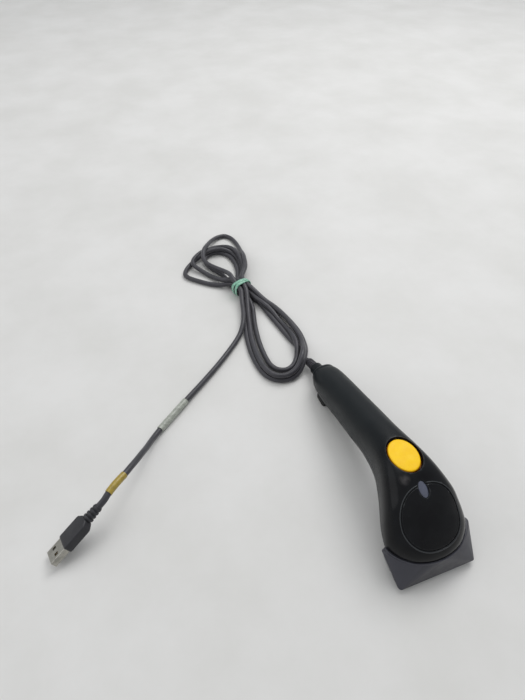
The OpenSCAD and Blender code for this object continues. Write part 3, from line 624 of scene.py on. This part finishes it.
# The head's front is an arc of radius HEAD_R round HEAD_Y, from NOSE_Y out to FRONT_Y
HEAD_Y, HEAD_R, NOSE_Y, FRONT_Y = -45.5, 35, -77.5, -80.5
# The handle's end is rounded from END_Y to TAIL_Y
END_Y, TAIL_Y = 80, 84.0
# Height of the upper case's edge over the bumper, and where the bumper ends behind it
RIM_Z, BLOCK_REAR_Y = 19.2, -62.35


def dense_profile():
    """The profile's rows with 40 steps from each to the next, on a smooth curve."""
    last = len(PROFILE) - 1
    rows = []
    for i in range(last):
        a, b, c, d = (PROFILE[min(max(k, 0), last)] for k in (i - 1, i, i + 1, i + 2))
        for t in np.arange(40) / 40:
            bend = 2 * a - 5 * b + 4 * c - d + t * (3 * (b - c) + d - a)
            rows.append(b + 0.5 * t * (c - a + t * bend))
    rows.append(PROFILE[last])
    return np.array(rows)


DENSE = dense_profile()


def case_at(y):
    """Half width, underside, top, widest height and upper exponent of the case at y."""
    w, low, top, mid, power = (float(np.interp(y, DENSE[:, 0], DENSE[:, k])) for k in range(1, 6))
    if y < NOSE_Y:
        full = HEAD_R**2 - (NOSE_Y - HEAD_Y) ** 2
        w = 14.6 * math.sqrt(max(HEAD_R**2 - (y - HEAD_Y) ** 2, 0) / full)
        top = 19 + 7 * (max(y - FRONT_Y, 0) / (NOSE_Y - FRONT_Y)) ** 0.6
    if y > END_Y:
        shrink = 1 - math.sqrt(max(1 - ((y - END_Y) / (TAIL_Y - END_Y)) ** 2, 0))
        w, low, top = 9.3 - 4.0 * shrink, 3.6 + 4.8 * shrink, 22.6 - 4.4 * shrink
    return w, low, top, mid, power


def top_z(x, y):
    """Height of the case's upper surface."""
    w, _, top, mid, power = case_at(y)
    share = max(1 - abs(x / w) ** power, 0)
    return mid + (top - mid) * share ** (1 / power)


def section(y, side, inset, count, chamfer=0.0):
    """Points across one half of the case, evenly spaced, from +X over to -X."""
    w, low, top, mid, power = case_at(y)
    w = max(w - inset, 0.3)
    rim = mid + side * 0.03
    if side > 0 and y < BLOCK_REAR_Y:
        rim = max(rim, RIM_Z)
    rise = max((top - mid if side > 0 else mid - low) - inset, 0.25)
    power = power if side > 0 else LOWER_POWER
    turn = np.linspace(0, math.pi, 241)
    x = w * np.sign(np.cos(turn)) * np.abs(np.cos(turn)) ** (2 / power)
    z = mid + side * rise * np.abs(np.sin(turn)) ** (2 / power)
    if side > 0:
        z = np.maximum(z, rim)
    else:
        z = np.minimum(z, rim)
    z[0] = z[-1] = rim
    along = np.concatenate([[0], np.cumsum(np.hypot(np.diff(x), np.diff(z)))])
    edge = min(0.35, along[-1] / 8)
    if chamfer:
        at = np.linspace(edge, along[-1] - edge, count - 2)
    else:
        at = np.linspace(0, along[-1], count)
    xs, zs = np.interp(at, along, x), np.interp(at, along, z)
    if chamfer:
        xs = np.concatenate([[x[0] - chamfer], xs, [x[-1] + chamfer]])
        zs = np.concatenate([[rim], zs, [rim]])
    scale = 1 - inset / TAIL_Y
    return [(a, y * scale, b) for a, b in zip(xs, zs)]


def half_case(name, side, ys):
    """Closed shell of one case half: outer skin, inner skin, rims and end walls."""
    outer = [section(y, side, 0, AROUND, 0.22) for y in ys]
    inner = [section(y, side, WALL, INNER_AROUND) for y in ys]
    points = [p for ring in outer + inner for p in ring]
    start, last = len(ys) * AROUND, len(ys) - 1
    faces = skinned(outer, closed_rings=False)
    faces += [tuple(f)[::-1] for f in skinned(inner, closed_rings=False, first=start)]
    for i in range(last):
        for a, b in ((0, 0), (AROUND - 1, INNER_AROUND - 1)):
            o, n = i * AROUND + a, start + i * INNER_AROUND + b
            quad = (o, n, n + INNER_AROUND, o + AROUND)
            faces.append(quad if a == 0 else quad[::-1])
    for i, flip in ((0, False), (last, True)):
        o, n = i * AROUND, start + i * INNER_AROUND
        quad = (o, o + AROUND - 1, n + INNER_AROUND - 1, n)
        faces.append(quad[::-1] if flip else quad)
    return evened(made(name, points, faces))


rear_rows = END_Y + (TAIL_Y - END_Y) * np.sin(np.linspace(0, math.pi / 2, 9))[1:]
head_rows = np.concatenate([np.linspace(-80.44, -79.4, 7)[:-1], np.linspace(-79.4, -44, 46)[:-1]])
upper_rows = np.concatenate([head_rows, np.linspace(-44, END_Y, 96), rear_rows])
lower_rows = np.concatenate([np.linspace(BLOCK_REAR_Y, END_Y, 110), rear_rows])

# Groove round the panel on the head, and the panel's slight drop inside it
PANEL_Y, PANEL_A, PANEL_B, PANEL_POWER = -62.3, 18.6, 14.8, 2.2
PANEL_DROP = 0.16


def panel_curve(count=180, grow=0.0, gap=0.0):
    """Points of the panel's outline on the case, with a gap at its rear where the lens is."""
    line = []
    turn = np.linspace(gap, 2 * math.pi - gap, count, endpoint=gap > 0) + math.pi / 2
    for t in turn:
        c, s = math.cos(t), math.sin(t)
        x = (PANEL_A + grow) * math.copysign(abs(c) ** (2 / PANEL_POWER), c)
        y = PANEL_Y + (PANEL_B + grow) * math.copysign(abs(s) ** (2 / PANEL_POWER), s)
        line.append((x, y, top_z(x, y)))
    return np.array(line)


def surface_normal(x, y):
    step = 0.05
    slope_x = (top_z(x + step, y) - top_z(x - step, y)) / (2 * step)
    slope_y = (top_z(x, y + step) - top_z(x, y - step)) / (2 * step)
    return np.array((-slope_x, -slope_y, 1)) / math.sqrt(1 + slope_x**2 + slope_y**2)


# Section of the groove with its rounded lips: across, and along the surface's normal
GROOVE = ((1.0, 0.6), (0.86, 0.03), (0.62, -0.04), (0.45, -0.16), (0.34, -0.34), (0.27, -0.55),
          (-0.27, -0.55), (-0.34, -0.34), (-0.45, -0.18), (-0.62, -0.08), (-0.86, -0.02),
          (-1.0, 0.6))


def groove_cutter():
    line = panel_curve()
    ahead = np.roll(line, -1, 0) - np.roll(line, 1, 0)
    ahead /= np.linalg.norm(ahead, axis=1)[:, None]
    rings = []
    for p, t in zip(line, ahead):
        n = surface_normal(p[0], p[1])
        n = n - (n @ t) * t
        n /= np.linalg.norm(n)
        out = np.cross(t, n)
        rings.append([p + n * v + out * u for u, v in GROOVE])
    around, count = len(GROOVE), len(rings)
    faces = [(i * around + j, i * around + (j + 1) % around,
              (i + 1) % count * around + (j + 1) % around, (i + 1) % count * around + j)
             for i in range(count) for j in range(around)]
    return evened(made("groove", [p for ring in rings for p in ring], faces))


upper = half_case("upper_shell", 1, upper_rows)
for vertex in upper.data.vertices[: len(upper_rows) * AROUND]:
    x, y, z = (v / MM for v in vertex.co)
    inside = abs(x / PANEL_A) ** PANEL_POWER + abs((y - PANEL_Y) / PANEL_B) ** PANEL_POWER
    inside = inside ** (1 / PANEL_POWER)
    if inside < 1 and z > RIM_Z + 0.2 and abs(top_z(x, y) - z) < 0.3:
        vertex.co -= Vector(surface_normal(x, y)) * PANEL_DROP * min((1 - inside) * 11, 1) * MM

BUTTON_Y, BUTTON_A, BUTTON_B = -26.8, 9.4, 12.0
LED_Y, LED_Z, LED_TILT = -49.6, 49.3, 26
SCREWS = ((-18, -56, 16), (18, -56, 16), (0, -9, 21))
BOOT_START, BOOT_END = Vector((0, 76, 13.2)), Vector((-2.4, 103, 5.8))
BOOT_LENGTH = (BOOT_END - BOOT_START).length


def along(start, end):
    """Matrix whose Z axis runs from start to end."""
    turn = (end - start).to_track_quat("Z", "Y").to_matrix().to_4x4()
    turn.translation = start
    return turn


led_frame = Matrix.Translation((0, LED_Y, LED_Z)) @ Matrix.Rotation(math.radians(LED_TILT), 4, "X")
boot_frame = along(BOOT_START, BOOT_END)


def hole(r, low, high):
    return lofted("hole", [oval_ring(r, r, z, 48) for z in (low, high)])


# Rings of the two holes: how far each stands out, and its height
RECESS = ((0.35, 36), (0.35, 51.15), (0.45, 51.35), (0.75, 51.6), (0.95, 52.1), (1.05, 52.8),
          (1.3, 56))
LED_HOLE = ((0, -14), (0, -0.25), (0.15, 0.1), (0.5, 0.5), (0.8, 9))
button_hole = lofted("button_hole", [
    oval_ring(BUTTON_A + grow, BUTTON_B + grow * 1.1, z, 128, (0, BUTTON_Y)) for grow, z in RECESS])
led_hole = lofted("led_hole", [oval_ring(2.9 + grow, 5.2 + grow, z) for grow, z in LED_HOLE])
boot_hole = placed(hole(5.2, -8, 16), boot_frame)
cut(upper, groove_cutter(), button_hole, placed(led_hole, led_frame), boot_hole)
# A raised lip outside the groove
LIP_OUT, LIP_SUNK, LIP_R = 0.66, 0.08, 0.36
lip = np.array([p - surface_normal(p[0], p[1]) * LIP_SUNK for p in panel_curve(240, LIP_OUT, 0.14)])
joined(upper, swept("panel_lip", lip, circle(LIP_R, 10)))
piece(upper, "case_plastic", stands_for=("upper_case",), angle=38)

lower = half_case("lower_shell", -1, lower_rows)
holes = [placed(hole(2.8, -4, seat + 3), Matrix.Translation((x, y, 0)))
         for x, y, seat in SCREWS]
cut(lower, placed(hole(5.2, -8, 16), boot_frame), *holes)
piece(lower, "case_plastic", stands_for=("lower_case",), angle=38)

# ---- Bumper round the front of the head ----

SEAM_R = 36.2
BUMPER_TOP, BUMPER_FRONT, BUMPER_REAR = 19, -84, -62.5
BUMPER_HALF, LIP_HALF, PAD_HALF = 30.0, 26.8, 24.6


def rounded_outline(points, r, n=5):
    """Corners of a convex outline rounded by r."""
    points = [np.array(p, float) for p in points]
    found = []
    for a, b, c in zip(points[-1:] + points[:-1], points, points[1:] + points[:1]):
        u, v = (a - b) / np.linalg.norm(a - b), (c - b) / np.linalg.norm(c - b)
        half = math.acos(float(np.clip(u @ v, -1, 1))) / 2
        if math.pi / 2 - half < 0.12:
            found.append(tuple(b))
            continue
        reach = r / math.tan(half)
        start, end = b + u * reach, b + v * reach
        for t in np.linspace(0, 1, n):
            found.append(tuple((1 - t) ** 2 * start + 2 * t * (1 - t) * b + t**2 * end))
    return found


def seam_outline(inset):
    """Outline of the bumper where it meets the case."""
    half, rear, r = BUMPER_HALF - inset, BUMPER_REAR - inset, SEAM_R - inset
    reach = math.asin(half / r)
    arc = [(r * math.sin(a), HEAD_Y - r * math.cos(a)) for a in np.linspace(-reach, reach, 41)]
    return rounded_outline(arc + [(half, rear), (-half, rear)], max(2.0 - inset * 0.5, 0.4))


def bar_outline(half, low, high, r):
    """A rounded rectangle as wide as half on either side, from low to high."""
    return rounded_outline([(-half, low), (half, low), (half, high), (-half, high)], r, 7)


def hull(name, layers):
    """The convex hull of outlines, each at its height."""
    work = bmesh.new()
    for outline, z in layers:
        for x, y in outline:
            work.verts.new((x * MM, y * MM, z * MM))
    result = bmesh.ops.convex_hull(work, input=work.verts)
    spare = result["geom_interior"] + result["geom_unused"]
    inner = {g for g in spare if isinstance(g, bmesh.types.BMVert)}
    bmesh.ops.delete(work, geom=list(inner), context="VERTS")
    flat = math.radians(1.2)
    bmesh.ops.dissolve_limit(work, angle_limit=flat, verts=work.verts, edges=work.edges)
    bmesh.ops.recalc_face_normals(work, faces=work.faces)
    mesh = bpy.data.meshes.new(name)
    work.to_mesh(mesh)
    work.free()
    obj = bpy.data.objects.new(name, mesh)
    scene.collection.objects.link(obj)
    return obj


def quarter(r, count):
    """Steps of a quarter round of radius r: how far in, and how far along."""
    return [(r * (1 - math.sin(a)), r * (1 - math.cos(a)))
            for a in np.linspace(0, math.pi / 2, count)]


# The window slopes from the lip in front down to the pad behind it
LIP_REAR, LIP_Z, PAD_FRONT = -78.6, 3, -69
layers = [(seam_outline(s), BUMPER_TOP - down) for s, down in quarter(0.7, 4)]
for s, up in quarter(1.1, 5):
    layers.append((bar_outline(LIP_HALF - s, BUMPER_FRONT + s, LIP_REAR, 2.6), LIP_Z + up))
for s, up in quarter(1.1, 5):
    layers.append((bar_outline(PAD_HALF - s, PAD_FRONT, BUMPER_REAR - s, 3), up))
bumper = hull("bumper_shell", layers)
hollow = hull("hollow", [
    (seam_outline(WALL), 17.2), (bar_outline(LIP_HALF - WALL, BUMPER_FRONT + WALL, -79, 1.6), 4.6),
    (bar_outline(PAD_HALF - WALL, PAD_FRONT, BUMPER_REAR - WALL, 1.4), 1.6)])
MOUTH_INSET = 4.2
mouth = hull("mouth", [(seam_outline(MOUTH_INSET), 15), (seam_outline(MOUTH_INSET), 21)])
window_slope = -math.atan2(LIP_Z, PAD_FRONT - LIP_REAR)
window_frame = Matrix.Translation((0, -73.8, 1.5)) @ Matrix.Rotation(window_slope, 4, "X")
window_frame = window_frame @ Matrix.Translation((0, -0.8, 0))
WINDOW_OPENING = ((0.9, -5), (0.5, -0.1), (0, 0.5), (0, 3.2))
opening = lofted("opening", [
    [(x, y, z) for x, y in bar_outline(21 + grow, -4 - grow, 4 + grow, 1.0 + grow)]
    for grow, z in WINDOW_OPENING])
cut(bumper, hollow, mouth, placed(opening, window_frame))
# A bead along the case, on the bumper's top edge
BEAD_OUT, BEAD_R = 0.75, 0.5
edge = np.array([(case_at(y)[0], y) for y in np.linspace(BLOCK_REAR_Y - 0.2, -80.47, 90)])
edge = np.vstack([edge, (edge * (-1, 1))[::-1]])
away = np.gradient(edge, axis=0)[:, ::-1] * (-1, 1)
away /= np.linalg.norm(away, axis=1)[:, None]
bead_path = [(x, y, BUMPER_TOP) for x, y in edge + away * BEAD_OUT]
joined(bumper, swept("bead", bead_path, circle(BEAD_R, 9)))
piece(bumper, "bumper_plastic", stands_for=("bumper",), angle=30, weighted=True)

# ---- Button and lens ----

crown = [(0.03, 53.0)] + [(t, 52.72 + 0.28 * (1 - t * t)) for t in np.linspace(0.15, 1, 9)]
outline = [((BUTTON_A - 1) * t, (BUTTON_B - 0.9) * t, z) for t, z in crown]
BUTTON_EDGE = ((0.85, 52.7), (0.62, 52.6), (0.36, 52.42), (0.16, 52.16), (0.04, 51.8), (0, 51.4))
outline += [(BUTTON_A - inset, BUTTON_B - inset, z) for inset, z in BUTTON_EDGE]
# Its skirt, flange and stem
outline += [(9.4, 12, 49.2), (10.3, 12.9, 49.2), (10.5, 13.1, 49.0), (10.5, 13.1, 48.0),
            (10.3, 12.9, 47.8), (2.45, 2.45, 47.8), (2.4, 2.4, 47.7), (2.4, 2.4, 43.25),
            (2.2, 2.2, 43.05)]
button = lofted("thumb_button", [oval_ring(a, b, z, 112, (0, BUTTON_Y)) for a, b, z in outline])
piece(button, "button", "button", ("trigger_button",), 34)

outline = [(2.65 * t, 4.95 * t, 0.3 - 0.55 * t**2.6) for t in np.linspace(0.04, 1, 12)]
outline += [(2.7, 5.0, -0.4), (2.7, 5.0, -4.4), (3.6, 5.9, -4.4), (3.6, 5.9, -5.4),
            (2.7, 5.0, -5.5), (2.7, 5.0, -6.2)]
lens = lofted("status_lens", [oval_ring(a, b, z, 72) for a, b, z in outline])
piece(placed(lens, led_frame), "light_pipe", stands_for=("led_lens",), angle=40)

# ---- Foot under the handle ----

FOOT_HALF, FOOT_Y, FOOT_REACH = 9.8, 65, 6
foot_outline = bar_outline(FOOT_HALF, FOOT_Y - FOOT_REACH, FOOT_Y + FOOT_REACH, 2.2)
# Inset of the sole's edge at each height
FOOT_EDGE = ((1.3, 0.0), (0.75, 0.12), (0.3, 0.45), (0.05, 1.0),
             (0, 1.6), (0, 4.6), (0.15, 5.2), (0.6, 5.55))
foot_rings = []
for inset, z in FOOT_EDGE:
    wide, long = 1 - inset / FOOT_HALF, 1 - inset / FOOT_REACH
    foot_rings.append([(x * wide, FOOT_Y + (y - FOOT_Y) * long, z) for x, y in foot_outline])
foot = lofted("rear_pad", foot_rings)
body_rings = []
for y in np.linspace(50, 80, 25):
    body_rings.append(section(y, -1, -0.05, 33) + [(-10, y, 30), (10, y, 30)])
cut(foot, lofted("body", body_rings))
for groove_y in (62, 65, 68):
    low, high = groove_y - 0.35, groove_y + 0.35
    corners = ((-14, low), (14, low), (14, high), (-14, high))
    cut(foot, lofted("bar", [[(x, y, z) for x, y in corners] for z in (-1, 0.35)]))
piece(foot, "foot_rubber", stands_for=("rear_foot",), angle=35)

# ---- Strain relief at the handle ----

profile = [(0.6, -1.4), (5.9, -1.4), (6.2, -1.1), (6.2, 0.7), (5.9, 1.0), (4.95, 1.0), (4.95, 8.9),
           (5.5, 9.2), (5.55, 9.5), (5.1, 10.2), (4.6, 11.0), (4.2, 12.0), (3.98, 13.2)]
for k in range(6):
    start, r = 13.9 + 2.2 * k, 3.95 - 0.05 * k
    profile += [(r, start - 0.25), (r - 0.12, start), (r - 0.85, start + 0.12),
                (r - 0.85, start + 0.68), (r - 0.12, start + 0.8), (r - 0.02, start + 1.05)]
end = BOOT_LENGTH - 0.1
profile += [(3.6, 27.3), (3.4, 27.8), (2.9, BOOT_LENGTH), (2.2, end), (0.6, end)]
boot = placed(turned(profile, "cord_relief", 56), boot_frame)
piece(boot, "cord_jacket", stands_for=("cord_boot",), angle=50)

# ---- Tie round the hank ----

TIE_PLACE, TIE_TURN = Vector((-23.5, 213, 0)), 14
tie_frame = Matrix.Translation(TIE_PLACE) @ Matrix.Rotation(math.radians(TIE_TURN), 4, "Z")
# Section of the band, in shares of its width and of its thickness
BAND = ((-0.5, 0), (-0.42, 0.4), (-0.2, 0.5), (0.2, 0.5), (0.42, 0.4),
        (0.5, 0), (0.42, -0.4), (0.2, -0.5), (-0.2, -0.5), (-0.42, -0.4))
BAND_WIDTH, BAND_THICK = 3.3, 1.0


def tie_loop(name, tilt, shift, grow):
    """One turn of the flat band, round a bundle of cord."""
    count, wide, high, middle = 72, 8.2 + grow, 6.55 + grow, 7.25
    rings = []
    for k in range(count):
        t = 2 * math.pi * k / count
        c, s = math.cos(t), math.sin(t)
        x, z = wide * math.copysign(abs(c) ** 0.72, c), high * math.copysign(abs(s) ** 0.72, s)
        nx, nz = c / wide, s / high
        long = math.hypot(nx, nz)
        nx, nz = nx / long, nz / long
        y = shift + tilt * x + 0.35 * math.sin(3 * t + 5 * shift)
        wave = 0.12 * math.sin(5 * t + shift)
        ring = []
        for u, v in BAND:
            off = v * BAND_THICK + wave
            ring.append((x + nx * off, y + u * BAND_WIDTH, max(middle + z + nz * off, 0.05)))
        rings.append(ring)
    rings.append(rings[0])
    return lofted(name, rings, low_cap=False, high_cap=False)


tie = joined(tie_loop("tie", 0.16, -1.1, 0.25), tie_loop("second", -0.13, 0.9, 0.7))
placed(tie, tie_frame)
piece(tie, "tie_band", stands_for=("cord_tie",), angle=60)

# ---- Sleeve and label on the free run ----

FILM_STEP, FILM_AROUND = 0.5, 48


def wrapped(name, start, end, outer, ripple, slot, node, seed):
    """Film round the cord between two places on its route, rippled, with one side lapped."""
    first, last = (int(np.argmin(np.linalg.norm(route - np.array(p), axis=1)))
                   for p in (start, end))
    path = smooth_line(route[first: last + 1], FILM_STEP)
    phases = np.random.default_rng(seed).uniform(0, 6.28, 6)

    def radius(k, turn):
        x = k * FILM_STEP
        wave = (math.sin(x * 0.55 + 2 * turn + phases[0]) + math.sin(x * 1.1 - 3 * turn + phases[1])
                + 0.7 * math.sin(x * 2.1 + turn + phases[2])) / 2.7
        lap = 0.16 if 0.6 < turn < 2.7 else 0.0
        return outer + ripple * wave + lap

    frames = frames_along(path)
    turns = np.linspace(0, 2 * math.pi, FILM_AROUND, endpoint=False)
    sections = [[(radius(k, t) * math.cos(t), radius(k, t) * math.sin(t)) for t in turns]
                for k in range(len(path))]
    inner = circle(2.15, FILM_AROUND)
    frames, sections = frames[:1] + frames + frames[-1:], [inner] + sections + [inner]
    rings = []
    for (p, across, up), flat in zip(frames, sections):
        ring = np.array([p + u * across + v * up for u, v in flat])
        ring[:, 2] = np.maximum(ring[:, 2], 0.02)
        rings.append(ring)
    return piece(lofted(name, rings), slot, stands_for=(node,), angle=40)


sleeve = wrapped("film_sleeve", (-109, 100.6, 2.8), (-134.5, 80.2, 2.8), 2.62, 0.1,
                 "sleeve_film", "cord_sleeve", 3)
label = wrapped("film_label", (-164, 39.3, 22.5), (-176.7, 27.8, 24), 2.48, 0.03,
                "label_film", "cord_label", 8)

# ---- USB plug ----

plug_frame = Matrix.Translation((-183.56, 23.12, 21.05))
for degrees, axis in ((204, "Z"), (24, "Y"), (23, "X")):
    plug_frame = plug_frame @ Matrix.Rotation(math.radians(degrees), 4, axis)
to_x = Matrix.Rotation(math.radians(90), 4, "Y")

profile = [(0.5, -0.2), (2.45, -0.2), (2.7, 0.1), (2.7, 0.5)]
for k in range(4):
    start, r = 0.6 + 2.5 * k, 3 + 0.18 * k
    profile += [(2.72, start - 0.05), (r - 0.2, start + 0.05), (r, start + 0.3), (r, start + 1.3),
                (r - 0.2, start + 1.55), (2.72, start + 1.65)]
profile += [(2.72, 10.6), (0.5, 10.7)]
plug_boot = placed(turned(profile, "plug_relief", 48), plug_frame @ to_x)
piece(plug_boot, "plug_plastic", stands_for=("usb_boot",), angle=50)


def box_ring(x, half_y, half_z, r):
    """Rounded rectangle across the plug's axis."""
    r = min(r, half_y - 0.02, half_z - 0.02)
    ring = []
    for sy, sz, start in ((1, 1, 0), (-1, 1, 90), (-1, -1, 180), (1, -1, 270)):
        for k in range(7):
            a = math.radians(start + 15 * k)
            ring.append((x, sy * (half_y - r) + r * math.cos(a),
                         sz * (half_z - r) + r * math.sin(a)))
    return ring


# Place along the plug, half width, half height and corner radius
GRIP = ((10.3, 3.0, 2.5, 1.6), (10.5, 3.4, 2.9, 1.6), (10.9, 3.9, 3.0, 1.5),
        (12.8, 5.95, 3.1, 1.0), (13.3, 6.35, 3.1, 0.9), (14.0, 6.55, 3.1, 0.8),
        (15.0, 6.6, 3.1, 0.8), (28.4, 6.6, 3.1, 0.8), (29.3, 6.5, 3.05, 0.8),
        (29.8, 6.2, 2.8, 0.7), (30.0, 5.7, 2.4, 0.6))
SHELL = ((29.6, 6, 2.25, 0.6), (41.3, 6, 2.25, 0.6), (41.5, 5.85, 2.1, 0.5),
         (41.5, 5.75, 2.0, 0.45), (41.3, 5.6, 1.85, 0.35), (29.8, 5.6, 1.85, 0.35))
grip = placed(lofted("plug_grip", [box_ring(*station) for station in GRIP]), plug_frame)
piece(grip, "plug_plastic", stands_for=("usb_grip",), angle=45)

shell = lofted("plug_shell", [box_ring(*station) for station in SHELL])
latch_outline = bar_outline(1.3, -1.15, 1.15, 0.3)
for y in (-2.8, 2.8):
    cut(shell, lofted("latch", [[(35.9 + u, y + v, z) for u, v in latch_outline] for z in (-5, 5)]))
SEAM = ((28, -0.06), (44, -0.06), (44, 0.06), (28, 0.06))
cut(shell, lofted("seam", [[(x, y, z) for x, y in SEAM] for z in (-5, -1.95)]))
piece(placed(shell, plug_frame), "plug_shell", stands_for=("usb_shell",), angle=35)

# ---- Floor, light and air ----

floor_mesh = bpy.data.meshes.new("floor")
floor_mesh.from_pydata([(-4, -4, 0), (4, -4, 0), (4, 5, 0), (-4, 5, 0)], [], [(0, 1, 2, 3)])
floor = bpy.data.objects.new("floor", floor_mesh)
scene.collection.objects.link(floor)
f = Finish("floor_pale", 0.55)
cloud = f.noise(90, 5, 0.6)
shade = f.mixed(f.span(cloud, 0.35, 0.65), srgb(214, 213, 210), srgb(222, 221, 219))
floor_mesh.materials.append(f.done(shade, f.span(cloud, 0.3, 0.7, 0.5, 0.62)))


def area_light(name, place, target, size, power):
    data = bpy.data.lights.new(name, "AREA")
    data.shape = "DISK"
    data.size = size
    data.energy = power
    light = bpy.data.objects.new(name, data)
    light.location = place
    light.rotation_euler = (Vector(target) - Vector(place)).to_track_quat("-Z", "Y").to_euler()
    scene.collection.objects.link(light)


area_light("key", (0.75, 0.75, 1.25), (0, 0.02, 0), 0.9, 8.5)
area_light("top", (0.1, 0.75, 1.75), (-0.05, 0.05, 0), 1.4, 6)
area_light("side", (-1.8, 0.4, 1.3), (-0.05, 0.05, 0), 2.2, 8)
world = bpy.data.worlds.new("world")
scene.world = world
world.use_nodes = True
air = world.node_tree.nodes["Background"]
air.inputs["Color"].default_value = (0.86, 0.88, 0.9, 1)
air.inputs["Strength"].default_value = 0.6
scene.view_settings.view_transform = "Standard"
